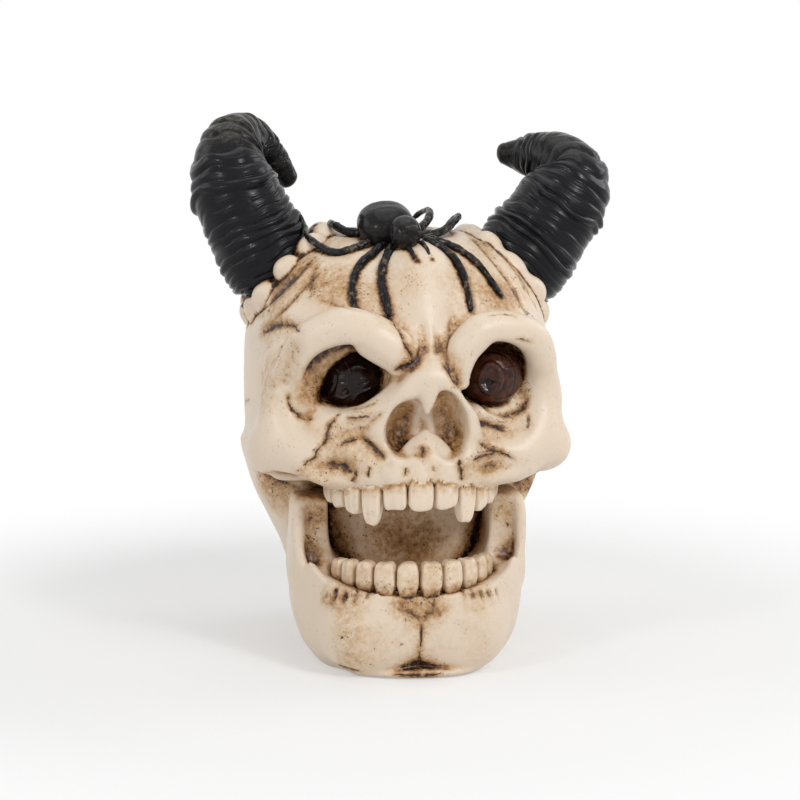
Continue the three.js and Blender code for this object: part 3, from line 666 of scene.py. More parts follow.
def black_material(name, shade, roughness, grain, dust):
    """Black paint, a little uneven in its gloss, with a pale dusting on the ridges' tops, partly a painted
    highlight near the horns' tips.
    """
    nodes, shader = new_material(name)
    base = nodes.ramp(nodes.noise(6, 4), [(0.3, tuple(shade)), (0.75, scaled(shade, 1.7))])
    broken = nodes.times(nodes.value("dust"), nodes.level(nodes.noise(1.4, 4, 0.7), 0.42, 0.66))
    finish = {
        "Base Color": nodes.mixed(broken, base, dust),
        "Roughness": nodes.spread(nodes.noise(2.2, 4, 0.7), roughness - 0.06, roughness + 0.14),
        "Normal": nodes.bump(nodes.noise(0.7, 3), grain, 0.15),
        "Specular IOR Level": 0.14,
    }
    nodes.feed(shader, finish)


def eye_material(name, deep):
    """Dark red-brown under a clear gloss, black in the pupil and in the folds."""
    nodes, shader = new_material(name)
    stops = [(0.3, scaled(deep, 0.3)), (0.5, deep), (0.72, scaled(deep, 2.1))]
    base = nodes.mixed(nodes.value("wash_and_shade"), nodes.ramp(nodes.noise(2.6, 4, 0.65), stops), PUPIL_BLACK)
    nodes.feed(shader, {"Base Color": base, "Roughness": 0.05, "Specular IOR Level": 0.24})


def bone_colours(settings, brighten=1.0):
    """The bone's colours from clean to deepest wash and painted shade."""
    cream = np.array(settings.cream) * brighten
    tan = np.array(settings.tan)
    halfway = np.sqrt(cream * np.sqrt(cream * tan))
    return [tuple(map(float, shade)) for shade in (cream, halfway, tan, settings.brown, settings.crack)]


def add_materials():
    scene = bpy.context.scene
    skull, horn, spider = scene.figurine_skull, scene.figurine_horn, scene.figurine_spider
    bone_material("antiqued_and_shaded_bone", bone_colours(skull), skull.roughness)
    bone_material("antiqued_and_shaded_ivory", bone_colours(skull, 1.06), skull.roughness - 0.06)
    black_material("black_horn", horn.colour, 0.16, 0.12, horn.dust)
    black_material("black_spider", spider.colour, 0.17, 0.07, spider.worn)
    eye_material("eye_gloss_right", scaled(skull.eye_colour, 0.4))
    eye_material("eye_gloss_left", scaled(skull.eye_colour, 1.5))


def finished(name, mesh, material, node):
    """Makes a mesh the piece that stands for a CAD node."""
    mesh.name = name
    mesh.shade_smooth()
    mesh.materials.append(bpy.data.materials[material])
    piece = bpy.data.objects.new(name, mesh)
    bpy.context.scene.collection.objects.link(piece)
    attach(piece, "root")
    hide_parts(node)


def model_bone(node, form, low, high, grain, seed, strokes, patches):
    """Models a bone piece in clay, carves its seams and gives it the antique wash and painted shade."""
    mesh = modelled(form, low, high, bpy.context.scene.figurine_skull.voxel)
    roughened(mesh, *grain, seed)
    lines = sculpted(mesh, strokes, seed)
    added = painted(mesh, patches)
    kept_inside(mesh, node)
    others = [other.data for name, other in frame["nodes"].items() if name != node]
    wash_and_shade(mesh, tree_of(mesh, *others), lines, added)
    finished(f"{node}_bone", mesh, "antiqued_and_shaded_bone", node)


# The skull.

FACE = -50.0
GUM = 57.6
BROW_MIDDLE = (1.2, 21.5, 87)
BROWS = {
    "right": [
        (17, 14, -7, 3.6), (14.5, 7, 4, 5.2), (9.5, 2.5, 12, 6.2), (1, -0.5, 15.5, 6.4),
        (-7, -2.5, 13, 6.2), (-12.5, -3, 9.5, 6), (-15.5, -2, 6, 4.6),
    ],
    "left": [
        (17, 14, -6, 3.6), (15, 7, 5, 4.8), (11, 2.5, 12, 5), (3, -0.5, 15.2, 4.9),
        (-5, -2.5, 14.2, 4.7), (-9.5, -3.5, 9.6, 4.6), (-11.3, -3.5, 4.5, 4), (-10.4, -3, 0, 2.4),
    ],
}
BROW_END = 4
FOREHEAD = [(1.8, -28.5, 116, 11), (1.8, -36.6, 107, 9.5), (2.4, -43.6, 98, 6.6), (3.2, -49.2, 91, 3.6)]
LOWER_LID = [
    (-20, -47, 75.5, 2.6), (-15, -50, 77.4, 3.2), (-10.5, -51.5, 80.6, 3.2), (-6.5, -52.5, 84.6, 2.8),
]
STRUT = [(0, 19, 22, 6.5), (1, 11, 5, 7.6), (-6, 6, -3, 7.6), (-13.5, 3, -4, 6.4)]
NOSE_RIM = {
    "right": [
        (-2, -3, 14, 3.4), (2, -5.8, 10.5, 3.4), (8.5, -4.6, 3.5, 3), (13.3, -2.8, -5, 2.9),
        (13, -2.4, -10, 2.7), (9.5, -4.4, -13.5, 2.4),
    ],
    "left": [
        (2, -3, 14, 3.4), (4.5, -5.8, 10, 3.4), (9, -4.8, 5.5, 3), (13.2, -3, -3.5, 2.9),
        (13.6, -2.4, -9.5, 2.7), (11, -4.2, -13.5, 2.4),
    ],
}
NOSE_BRIDGE = [(2.4, -56, 88, 3.4), (2.0, -56.4, 83, 2.4), (1.8, -56, 79, 0.9)]
NOSE_SPINE = ((1.9, -52.6, 65), (8.6, 5.4, 8.6), None, 1.3)
NOSE_HOLLOWS = [
    ((-4, -58, 74), (6.2, 12, 8.6), turned(y=14)),
    ((7.4, -58, 75), (6.6, 12, 10.4), turned(y=-12)),
    ((1.8, -58, 73.5), (6, 11, 7), None),
]
SOCKETS = [
    ((-21, -51, 88.2), (12, 17, 9.8), turned(y=-13)), ((21.7, -51, 88.4), (10.9, 17, 9.7), turned(y=8)),
]
SOCKET_WALL = [
    (-33.2, -41, 80.8, 4.5), (-31.4, -41, 85.4, 4.5), (-28.3, -41, 92.5, 4.5),
    (-24.8, -41, 95.4, 4.5), (-20, -41, 98.7, 4.5), (-14.9, -41, 99.1, 4.5),
]
CHEEK_HOLLOWS = [((-37.5, -42, 54.2), (11, 14, 6)), ((37.5, -42, 51.6), (11, 14, 6))]
TORN_HOLLOWS = [
    ((-27, -54.4, 62.5), (9, 5, 4.5)), ((26, -55.6, 61.5), (9, 5, 3.5)), ((-17, -58.6, 68.5), (6, 5, 3)),
]
BRAINCASE = np.array([0, 0, 79.5])
CASE = (BRAINCASE, (47, 50, 49.5), None, 2.9, 2.4)
CASE_FLOOR = 55
MOUTH_BACK = -12
NECK_HEIGHT = 60
NECK_FRONT = -28
NECK_HALF_WIDTH = 26
NECK_HALF_DEPTH = 32
MIDDLE_FACE = ((0, -37, 69), (33, 15, 15), None, 2.6)
UPPER_JAW = ((0.6, -36, 63), (27, 22, 13.5), None, 2.4)
CHEEKBONE = (36.5, -29, 67)
CHEEKBONE_RADII = (11, 17, 10)
NOSE_MOUND = ((1.6, -45, 77.5), (14, 9.5, 14), None, 2.3)
NOSE_MIDDLE = (1.6, FACE, 78)


def brow_line(name, side):
    middle, out, height = BROW_MIDDLE
    return beside(side, (middle + side * out, FACE, height), BROWS[name])


def neck_form(spots):
    """A block that widens upwards from the base."""
    share = np.clip(spots[:, 2], 0, NECK_HEIGHT) / NECK_HEIGHT
    width = NECK_HALF_WIDTH * (1 + 0.75 * share)
    reach = NECK_HALF_DEPTH * (1 + 0.15 * share)
    size = np.hypot(spots[:, 0] / width, (spots[:, 1] - NECK_FRONT - reach) / reach)
    wall = 0.95 * (size - 1) * width
    half = NECK_HEIGHT / 2
    return np.maximum(wall, np.abs(spots[:, 2] - half) - half)


def skull_mass(spots):
    """The braincase, the neck, the cheeks, the brows and the nose, before anything is carved."""
    hollow = np.maximum(spots[:, 1] - MOUTH_BACK, spots[:, 2] - CASE_FLOOR)
    form = carved(ball(spots, *CASE), hollow, 3)
    form = joined(form, neck_form(spots), 9)
    form = joined(form, ball(spots, *MIDDLE_FACE), 5)
    form = joined(form, ball(spots, *UPPER_JAW), 4)
    form = joined(form, rope(spots, FOREHEAD), 4)
    for name, side in SIDES.items():
        out, front, height = CHEEKBONE
        turn = turned(y=side * 17, z=side * 26)
        form = joined(form, ball(spots, (side * out, front, height), CHEEKBONE_RADII, turn), 5)
        form = joined(form, rope(spots, beside(side, (side * out, FACE, height), STRUT)), 4)
        form = joined(form, rope(spots, brow_line(name, side)), 6)
    form = joined(form, ball(spots, *NOSE_MOUND), 3)
    for name, side in SIDES.items():
        form = joined(form, rope(spots, beside(side, NOSE_MIDDLE, NOSE_RIM[name])), 1.8)
    return np.maximum(form, -spots[:, 2])


def root_line(name):
    """The ridge over an upper tooth, so that it comes out of a scalloped gum."""
    low, high = node_box(name)
    x, y = (low[:2] + high[:2]) / 2
    half = min(high[:2] - low[:2]) / 2
    return [
        (x, y + 0.4, GUM + half, half + 0.9),
        (x, y + 1.2, GUM + 5, half + 0.3),
        (x, y + 3, GUM + 9, 0.6 * half),
    ]


def skull_form(spots):
    form = skull_mass(spots)
    for place in SOCKETS:
        form = carved(form, ball(spots, *place, 2.2), 2.4)
    form = joined(form, rope(spots, SOCKET_WALL), 1.5)
    for name, side in SIDES.items():
        form = joined(form, rope(spots, brow_line(name, side)[BROW_END:]), 1.2)
    for place in CHEEK_HOLLOWS:
        form = carved(form, ball(spots, *place), 1.4)
    form = joined(form, rope(spots, LOWER_LID), 2)
    for name in sorted(frame["nodes"]):
        if name.startswith("upper_tooth_"):
            form = joined(form, rope(spots, root_line(name)), 1.5)
    hollow = ball(spots, *NOSE_HOLLOWS[0])
    for place in NOSE_HOLLOWS[1:]:
        hollow = joined(hollow, ball(spots, *place), 1.2)
    form = carved(form, hollow, 1.4)
    for place in TORN_HOLLOWS:
        form = carved(form, ball(spots, *place), 3)
    form = joined(form, rope(spots, NOSE_BRIDGE), 2)
    return joined(form, ball(spots, *NOSE_SPINE), 1.0)


SKULL_STROKES = [
    # The seams of the forehead's tongue and the furrows between the brows.
    (1.3, -0.9, 1.0, [(390, 319), (401, 332), (408, 348), (420, 362)]),
    (0.8, -0.5, 0.5, [(456, 309), (451, 324), (448, 342), (443, 362)]),
    (1.3, -0.6, 0.3, [(421, 322), (423, 338), (426, 352)]),
    (1.3, -0.6, 0.3, [(437, 330), (438, 346), (436, 360)]),
    (1.4, 0.5, 0.0, [(429, 320), (431, 338), (431, 356)]),
    (1.2, 0.4, 0.0, [(412, 326), (415, 340), (419, 354)]),
    (1.3, -0.9, 1.0, [(393, 374), (402, 369), (410, 366), (419, 359)]),
    (0.8, -0.5, 0.7, [(440, 362), (448, 370), (455, 382), (463, 388)]),
    # The line over the figure's right brow, and the edge of the field above it.
    (0.8, -0.4, 0.5, [(311, 298), (322, 300), (335, 305), (350, 309), (364, 313)]),
    (0.8, -0.4, 0.6, [(323, 259), (315, 268), (311, 280), (310, 290), (312, 299)]),
    # The figure's left brow's upper line and the marks at its outer end.
    (0.8, -0.4, 0.55, [(482, 318), (492, 315), (506, 314), (522, 317)]),
    (0.8, -0.4, 0.6, [(512, 341), (522, 340), (535, 344)]),
    # Temple seam on the figure's right.
    (1.6, -1.0, 1.0, [(253, 338), (262, 332), (272, 327), (283, 325), (293, 327), (300, 335), (301, 345)]),
    # The temple's hollow behind the rim of the figure's right socket.
    (4.0, -1.8, 0.45, [(301, 338), (293, 348), (286, 361), (283, 376), (285, 394)]),
    # Round the outside of the figure's right socket.
    (0.9, -0.6, 0.8, [(288, 390), (287, 400), (290, 409), (297, 415), (306, 419)]),
    # Zigzag crack down the figure's right cheek.
    (0.9, -0.7, 1.0, [
        (343, 409), (335, 418), (328, 427), (325, 440), (317, 450), (315, 458), (305, 465), (301, 475),
    ]),
    # Wrinkles beside the nose.
    (0.8, -0.5, 0.7, [(339, 419), (350, 419), (362, 418), (374, 414)]),
    (0.8, -0.4, 0.5, [(343, 410), (358, 408), (372, 404), (384, 396)]),
    (0.8, -0.4, 0.5, [(369, 424), (376, 418), (384, 411)]),
    (0.9, -0.6, 0.8, [(337, 446), (345, 443), (354, 440), (361, 437)]),
    (1.3, -0.9, 0.75, [(357, 435), (365, 441), (373, 448), (381, 456), (388, 463)]),
    (1.3, -0.6, 0.6, [(324, 466), (334, 466), (345, 470), (353, 477)]),
    (0.9, -0.7, 0.9, [(355, 470), (354, 478), (351, 485)]),
    (0.9, -0.6, 0.8, [(369, 465), (368, 472), (366, 480)]),
    # Gashes on the figure's left cheek.
    (1.1, -1.0, 1.0, [(478, 423), (488, 425), (500, 428), (511, 431)]),
    (1.0, -0.7, 0.85, [(477, 441), (486, 447), (500, 453), (510, 458), (519, 463)]),
    (1.1, -0.7, 0.7, [(471, 464), (479, 459), (488, 456), (500, 454)]),
    # The lids under the figure's left eye.
    (0.9, -0.6, 0.7, [(461, 390), (470, 397), (482, 406), (494, 413), (508, 416)]),
    (1.0, -0.7, 1.0, [(494, 413), (504, 416), (514, 414), (523, 408), (529, 397)]),
    (0.9, 0.5, 0.0, [(464, 396), (476, 405), (488, 414), (500, 420), (512, 421)]),
    (0.7, -0.4, 0.6, [(528, 411), (529, 422), (527, 434)]),
    # Pits and grooves above the upper teeth.
    (1.6, -0.8, 0.7, [(424, 444), (422, 452), (424, 460)]),
    (0.8, -0.5, 0.7, [(406, 468), (406, 479)]),
    (1.0, -0.6, 0.8, [(459, 457), (460, 466), (462, 476), (463, 484)]),
    (0.7, -0.3, 0.6, [(434, 466), (434, 473)]),
    # Under the cheekbones, where the stain is wash and painted shade.
    (1.2, -0.7, 0.8, [(265, 468), (276, 472), (290, 475), (303, 477)]),
    (1.0, -0.6, 0.7, [(528, 489), (540, 486), (550, 483), (562, 477)]),
    # Ridge bands beside the collars, with pits along them.
    (1.1, 0.7, 0.0, [(321, 258), (303, 277), (281, 300), (258, 322)]),
    (0.9, -0.6, 0.7, [(313, 259), (297, 276), (276, 297), (252, 318)]),
    (0.9, -0.5, 0.6, [(327, 263), (309, 282), (290, 303), (268, 325)]),
    (1.1, 0.7, 0.0, [(470, 229), (493, 251), (515, 279), (535, 314)]),
    (0.8, -0.5, 0.6, [(476, 228), (500, 252), (521, 279), (539, 312)]),
    (0.8, -0.5, 0.6, [(464, 231), (486, 253), (508, 281), (528, 316)]),
    *[
        (0.9, -0.6, 1.0, [(across, down), (across + 1.5, down + 1)])
        for across, down in [
            (307, 263), (303, 268), (311, 259), (297, 279), (292, 285), (287, 291), (282, 296), (276, 302),
            (269, 309), (262, 315), (478, 233), (489, 243), (505, 261), (524, 288), (536, 306),
        ]
    ],
    # Seams on the crown, the sides and the back.
    (0.9, -0.5, 0.7, [(0, 22, 128), (2, 30, 122), (-2, 38, 113), (1, 44, 103), (0, 48, 93)]),
    (0.9, -0.5, 0.7, [
        (0, 48, 93), (-9, 47, 86), (-18, 46, 82), (-27, 41, 74), (-36, 32, 68), (-42, 22, 62),
    ]),
    (0.9, -0.5, 0.7, [(0, 48, 93), (9, 47, 86), (18, 46, 82), (27, 41, 74), (36, 32, 68), (42, 22, 62)]),
    (0.8, -0.4, 0.6, [(-42, 22, 62), (-46, 8, 70), (-47, -6, 76), (-46, -18, 78)]),
    (0.8, -0.4, 0.6, [(42, 22, 62), (46, 8, 70), (47, -6, 76), (46, -18, 78)]),
    (1.6, 0.6, 0.0, [(-24, 38, 56), (-10, 44, 52), (0, 46, 50), (10, 44, 52), (24, 38, 56)]),
]

SKULL_PATCHES = [
    # The mouth's back wall, darker below, and the bone behind the cheekbones and the jaw's branches: wash
    # and painted shade deep in the mouth and behind the jaw.
    ((0, -28, 49), 36, 0.33), ((0, -29, 31), 18, 0.35), ((-40, -14, 50), 14, 0.4), ((40, -14, 50), 14, 0.4),
    ((-37, -38, 57), 9, 0.55), ((37, -40, 56), 8, 0.3),
    # The nose's inside and the wall of the figure's left socket are only thinly washed; the wall of the
    # figure's right socket gets more wash.
    ((1.8, -48, 76), 16, -0.32), ((-30, -45, 84), 7, 0.5), ((-28, -45, 90), 7, 0.4),
    ((-22, -45, 96), 8, 0.45), ((31.5, -45, 88), 7, -0.35),
    # Thin wash over the forehead, the temples, round the collars and above the teeth, and painted shade on
    # the figure's right temple.
    ((345, 282), 12, 0.26), ((330, 285), 10, 0.26), ((370, 300), 9, 0.22), ((400, 290), 9, 0.1),
    ((415, 270), 10, 0.16), ((480, 285), 16, 0.32), ((505, 300), 10, 0.26), ((330, 250), 14, 0.25),
    ((300, 280), 10, 0.3), ((280, 305), 8, 0.3), ((485, 250), 14, 0.22), ((515, 290), 10, 0.22),
    ((270, 330), 9, 0.25), ((340, 445), 10, 0.3), ((345, 472), 10, 0.16), ((375, 455), 8, 0.24),
    ((490, 440), 9, 0.2), ((485, 465), 9, 0.28), ((425, 470), 9, 0.08), ((415, 356), 7, 0.35),
    # Below, the wide patch at (262, 385) is painted shade on the figure's right temple, which faces away
    # from the light.
    ((404, 367), 4, 0.4), ((262, 385), 14, 0.32), ((450, 366), 5, 0.45), ((456, 379), 4, 0.45),
    ((310, 480), 9, 0.3), ((525, 480), 8, 0.25), ((423, 452), 4, 0.4), ((390, 322), 7, 0.2),
    ((458, 316), 7, 0.12), ((466, 470), 6, 0.25), ((300, 400), 5, 0.15), ((520, 425), 8, 0.12),
    ((366, 420), 7, 0.16),
    # Round the horns' collars.
    ((316, 248), 5, 0.2), ((305, 264), 5, 0.3), ((290, 281), 5, 0.3), ((276, 295), 5, 0.3),
    ((262, 309), 5, 0.3), ((500, 238), 6, 0.15), ((519, 262), 6, 0.15), ((537, 288), 6, 0.15),
    *[
        ((side * (38.8 + 15 * math.cos(turn)), 21 * math.sin(turn), 116.5 - 14 * math.cos(turn)), 9, 0.5)
        for side in (-1, 1)
        for turn in (0.0, 0.8, 1.6, 2.4, 3.14, 3.9, 4.7, 5.5)
    ],
]


class FIGURINE_OT_skull(bpy.types.Operator):
    """Model the skull in clay, carve its seams and give it the antique wash and painted shade"""

    bl_idname = "figurine.skull"
    bl_label = "Skull"

    def execute(self, context):
        low, high = (-52, -64, -3), (52, 53, 132)
        model_bone("skull", skull_form, low, high, (0.28, 14), 1, SKULL_STROKES, SKULL_PATCHES)
        return {"FINISHED"}


# The lower jaw.

RAMUS = [(34.2, -32.5, 48.5, 1.2), (34.7, -33.5, 43, 1.3), (34.5, -35, 36, 1.4), (32.6, -38, 28.5, 1.4)]
PANEL = ((29, -37.2, 41), (4.2, 4, 10.5))
LIP = ((0, -56, 46), (32.8, 22, 20.5), None, 3.4, 8)
ROOT_BUMPS = {"right": (25.4, 22.6, 19.6, 16.2, 12.6), "left": (21.2, 18.8, 16.4, 13.8)}
JAW_MIDDLE = (0, -22, 24.5)
JAW_RADII = (36, 33, 32.5)
JAW_SQUARENESS = 2.6
CHIN_LOBE = ((11.5, -45, 13.5), (17, 11, 14.5), 2.2)
CHIN_FOOT = ((1.4, -42.5, 1.2), (19, 12.4, 1.9), None, 2.6)
BRANCH = ((30.5, -26, 37), (5.5, 9.5, 14), 5)
MOUTH = ((0, -50, 46), (25, 66, 20.5), None, 3.4)
MOUTH_FLOOR = ((0, -37, 40.75), (20, 12, 26.75), None, 2.4)
JAW_BACK = -12.3
JAW_GAP = 0.3


def ball_beside(spots, side, place, radii, squareness):
    """A ball on one side, its place given for the left one."""
    out, back, up = place
    return ball(spots, (side * out, back, up), radii, None, squareness)


def rounded_height(out, half_width, squareness):
    """How high a rounded box of height 1 stands at a distance from its middle."""
    return (1 - (out / half_width) ** squareness) ** (1 / squareness)


def root_bump(side, out):
    """A bump under the jaw's lip, over the root of a lower tooth."""
    front = JAW_MIDDLE[1] - JAW_RADII[1] * rounded_height(out, JAW_RADII[0], JAW_SQUARENESS)
    middle, radii, _, squareness, _ = LIP
    rim = middle[2] - radii[2] * rounded_height(out, radii[0], squareness)
    return [(side * out, front + 0.3, rim - 1, 1.2), (side * (out + 1.2), front + 0.4, rim - 4.4, 1.6)]


def jaw_form(spots):
    form = ball(spots, JAW_MIDDLE, JAW_RADII, None, JAW_SQUARENESS)
    for side in SIDES.values():
        form = joined(form, ball_beside(spots, side, *CHIN_LOBE), 2.5)
        form = joined(form, ball_beside(spots, side, *BRANCH), 4)
    form = joined(form, ball(spots, *CHIN_FOOT), 0.8)
    form = carved(form, ball(spots, *LIP), 1.6)
    form = carved(form, ball(spots, *MOUTH), 1.6)
    form = carved(form, ball(spots, *MOUTH_FLOOR), 2)
    for name, side in SIDES.items():
        form = carved(form, ball_beside(spots, side, *PANEL, 3), 2)
        form = joined(form, rope(spots, beside(side, (0, 0, 0), RAMUS)), 1.4)
        for out in ROOT_BUMPS[name]:
            form = joined(form, rope(spots, root_bump(side, out)), 0.7)
    form = np.maximum(form, spots[:, 1] - JAW_BACK)
    form = np.maximum(form, -spots[:, 2])
    return np.maximum(form, JAW_GAP - skull_mass(spots))


JAW_STROKES = [
    (0.6, -0.6, 0.75, [(420, 619), (422, 634), (420, 650), (419, 668)]),
    (0.7, -0.4, 0.5, [(388, 602), (398, 609), (409, 612), (420, 619), (432, 614), (444, 612), (455, 603)]),
    (0.5, -0.3, 0.5, [(404, 600), (402, 609)]),
    (0.5, -0.3, 0.5, [(432, 600), (435, 610)]),
    *[(0.8, -0.9, 0.55, [(x, 589), (x - 2, 596), (x - 5, 604)]) for x in (325, 335.5, 346, 357, 369, 382)],
    *[(0.8, -0.9, 0.55, [(x, 588), (x + 2, 594), (x + 4, 601)]) for x in (463, 472, 481, 489, 497)],
    (0.8, -0.5, 0.8, [(330, 663), (345, 669), (365, 674)]),
    (0.9, -0.7, 0.95, [(385, 674), (405, 677), (428, 677), (450, 672)]),
]

JAW_PATCHES = [
    # The first three patches lie inside the mouth, on the jaw's inner sides and floor: wash and painted
    # shade.
    ((-24, -30, 36), 12, 0.2), ((24, -30, 36), 12, 0.15), ((0, -40, 24), 20, 0.35),
    ((-28.5, -35, 46), 7, 0.6), ((28.5, -35, 46), 7, 0.38), ((-29.5, -35, 39), 6, 0.1),
    ((29.5, -35, 39), 6, -0.1), ((350, 642), 12, 0.12), ((418, 605), 10, 0.4), ((400, 602), 7, 0.2),
    ((440, 602), 7, 0.2), ((350, 597), 9, 0.24), ((335, 592), 7, 0.2), ((480, 594), 8, 0.24),
    ((420, 640), 9, 0.16), ((370, 640), 14, 0.14), ((345, 625), 8, 0.12), ((480, 640), 12, 0.08),
    ((420, 676), 10, 0.35), ((350, 668), 8, 0.25), ((322, 560), 6, 0.1),
]


class FIGURINE_OT_jaw(bpy.types.Operator):
    """Model the lower jaw in clay and give it the antique wash and painted shade"""

    bl_idname = "figurine.jaw"
    bl_label = "Lower jaw"

    def execute(self, context):
        low, high = (-39, -60, -3), (39, -10, 55)
        model_bone("lower_jaw", jaw_form, low, high, (0.25, 11), 2, JAW_STROKES, JAW_PATCHES)
        return {"FINISHED"}


# The horns and their collars.

HORN_SEAT = (38.83, 0, 116.35)
HORN_LEAN = math.radians(42)
HORN_FOOT = 9
HORN_FOOT_RADIUS = 9
HORN_LINES = {
    "right": [
        (-2, 0, 1.5, 15.7), (4.5, 1, 13, 14.9), (9.5, 2, 23.5, 14.3), (11, 5, 32.5, 11.8),
        (8, 11, 38.5, 9.2), (2.5, 17, 39, 6.5), (-4, 21, 33.5, 5.1), (-9.4, 23.2, 26.6, 3.5),
        (-10.8, 23.8, 24.8, 3),
    ],
    "left": [
        (0, 0, 0.5, 16.1), (7.5, 1, 10, 15.3), (15.5, 2, 20.5, 14.3), (18.5, 5, 27, 11.8),
        (15.5, 10, 32, 9.6), (10, 16, 33.5, 8), (4.5, 20, 34, 5.7), (-0.8, 22, 34.5, 3.4),
        (-2.8, 22.7, 34.5, 2.8),
    ],
}
HORN_GRID = (330, 88)
DUST_ON_TOP = {"right": 0.9, "left": 0.3}


def horn_axis(side):
    return np.array([side * math.sin(HORN_LEAN), 0, math.cos(HORN_LEAN)])


def horn_seat(side):
    return np.array([side * HORN_SEAT[0], HORN_SEAT[1], HORN_SEAT[2]])


def rolled_grid(name, along, around, place):
    """A closed tube rolled from a grid: place takes shares along and around, and gives points."""
    sheet = bmesh.new()
    bmesh.ops.create_grid(sheet, x_segments=along, y_segments=around, size=0.5)
    shares = np.array([vert.co[:2] for vert in sheet.verts]) + 0.5
    for vert, spot in zip(sheet.verts, place(shares[:, 0], shares[:, 1])):
        vert.co = Vector(spot) * MM
    bmesh.ops.remove_doubles(sheet, verts=sheet.verts, dist=0.002 * MM)
    bmesh.ops.holes_fill(sheet, edges=[edge for edge in sheet.edges if edge.is_boundary], sides=around + 1)
    return mesh_of(sheet, name)


def carried_frame(line):
    """Two directions across a line at each of its points, carried along it without twist."""
    ahead = np.gradient(line, axis=0)
    ahead /= np.linalg.norm(ahead, axis=1)[:, None]
    first = np.cross(ahead[0], [0, 1, 0])
    across = [first / np.linalg.norm(first)]
    for direction in ahead[1:]:
        turned_on = across[-1] - direction * (across[-1] @ direction)
        across.append(turned_on / np.linalg.norm(turned_on))
    across = np.array(across)
    return across, np.cross(ahead, across)


def tube_place(line, swell):
    """The place function of a tube along a line of (x, y, z, radius); swell shapes its radius."""
    shares = line_shares(line)
    across, other = carried_frame(line[:, :3])

    def at(share, values):
        return np.stack([np.interp(share, shares, values[:, k]) for k in range(values.shape[1])], 1)

    def place(along, around):
        angle = 2 * math.pi * around
        radius = swell(along, angle, at(along, line[:, 3:])[:, 0])
        out = at(along, across) * np.cos(angle)[:, None] + at(along, other) * np.sin(angle)[:, None]
        return at(along, line[:, :3]) + out * radius[:, None]

    return place


def round_end(along, start):
    """1 up to the start, then falling to 0 at the end as a half ball does."""
    return np.sqrt(np.clip(1 - np.clip((along - start) / (1 - start), 0, 1) ** 2, 0, 1))


def tube_noise(angle, along, seed, width):
    """Soft noise over a tube that closes round it."""
    ring = np.stack([np.cos(angle), np.sin(angle)], 1)
    return rough(np.column_stack([width * ring, along]), 1.0, seed, 2)


def ridged(settings, seed):
    """The swell of a horn: uneven ridges that fade in and out round it, with fine lines between them."""
    levels = np.array([random.Random(100 * seed + i).uniform(0.15, 1) for i in range(200)])

    def swell(along, angle, radius):
        wave = tube_noise(angle, 7 * along, seed + 3, 0.9)
        phase = settings.ridges * along**0.9 + 0.9 * wave + 4
        index = np.floor(phase).astype(int)
        fade = tube_noise(angle, 3.7 * index, seed + 8, 1.1)
        comb = 1 - np.abs(2 * (phase % 1) - 1) ** 2.2
        fine = 1 - np.abs(2 * ((3 * phase + 0.5 * fade) % 1) - 1) ** 2
        height = levels[index] * np.clip(0.8 + 0.8 * fade, 0.15, 1.2) * comb + 0.1 * fine - 0.5
        slender = (0.4 + 0.6 * radius / 15) * np.clip((1 - along) / 0.12, 0.2, 1)
        return (radius + settings.ridge_height * slender * height) * round_end(along, 0.975)

    return swell


class FIGURINE_OT_horns(bpy.types.Operator):
    """Sweep the two ridged horns along their curls"""

    bl_idname = "figurine.horns"
    bl_label = "Horns"

    def execute(self, context):
        settings = context.scene.figurine_horn
        for seed, (name, side) in enumerate(SIDES.items()):
            seat = horn_seat(side)
            foot = seat - HORN_FOOT * horn_axis(side)
            line = smooth_line([(*foot, HORN_FOOT_RADIUS)] + beside(side, seat, HORN_LINES[name]), 0.5)
            mesh = rolled_grid(f"horn_{name}", *HORN_GRID, tube_place(line, ridged(settings, seed)))
            kept_inside(mesh, f"horn_{name}")
            spots, normals = mesh_spots(mesh), mesh_normals(mesh)
            high = np.clip((spots[:, 2] - spots[:, 2].max() + 12) / 9, 0, 1)
            upwards = np.clip(normals[:, 2] + 0.2, 0, 1)
            # Near the tip the ridge tops are paler: partly wear and partly a painted highlight.
            end = np.clip(1 - np.linalg.norm(spots - line[-1, :3], axis=1) / 16, 0, 1)
            dusting_and_tip_highlight = DUST_ON_TOP[name] * high * upwards + 0.5 * end
            put_values(mesh, "dust", dusting_and_tip_highlight * (0.4 + 0.6 * raised(mesh, 8, 0.12)))
            finished(f"horn_{name}_ridged", mesh, "black_horn", f"horn_{name}")
        return {"FINISHED"}


def on_skull(tree, spot):
    """Where a line from a point outside to the middle of the braincase meets the skull, and its way in."""
    inwards = BRAINCASE - np.asarray(spot, float)
    inwards /= np.linalg.norm(inwards)
    hit = tree.ray_cast(Vector(BRAINCASE - 200 * inwards), Vector(inwards))[0]
    return np.array(hit), inwards


BEADS = 11
BEAD = {"right": (5.6, 4.8, 6.5), "left": (6.0, 4.6, 5.8)}
BEAD_START = {"right": -0.19, "left": 0.1}
BEAD_REACH = 2.8
BEAD_SINK = 2.8
BEAD_BLEND = {"right": 0.8, "left": 2.4}
BEAD_SQUARENESS = 2.3
BEAD_VOXEL = 0.7


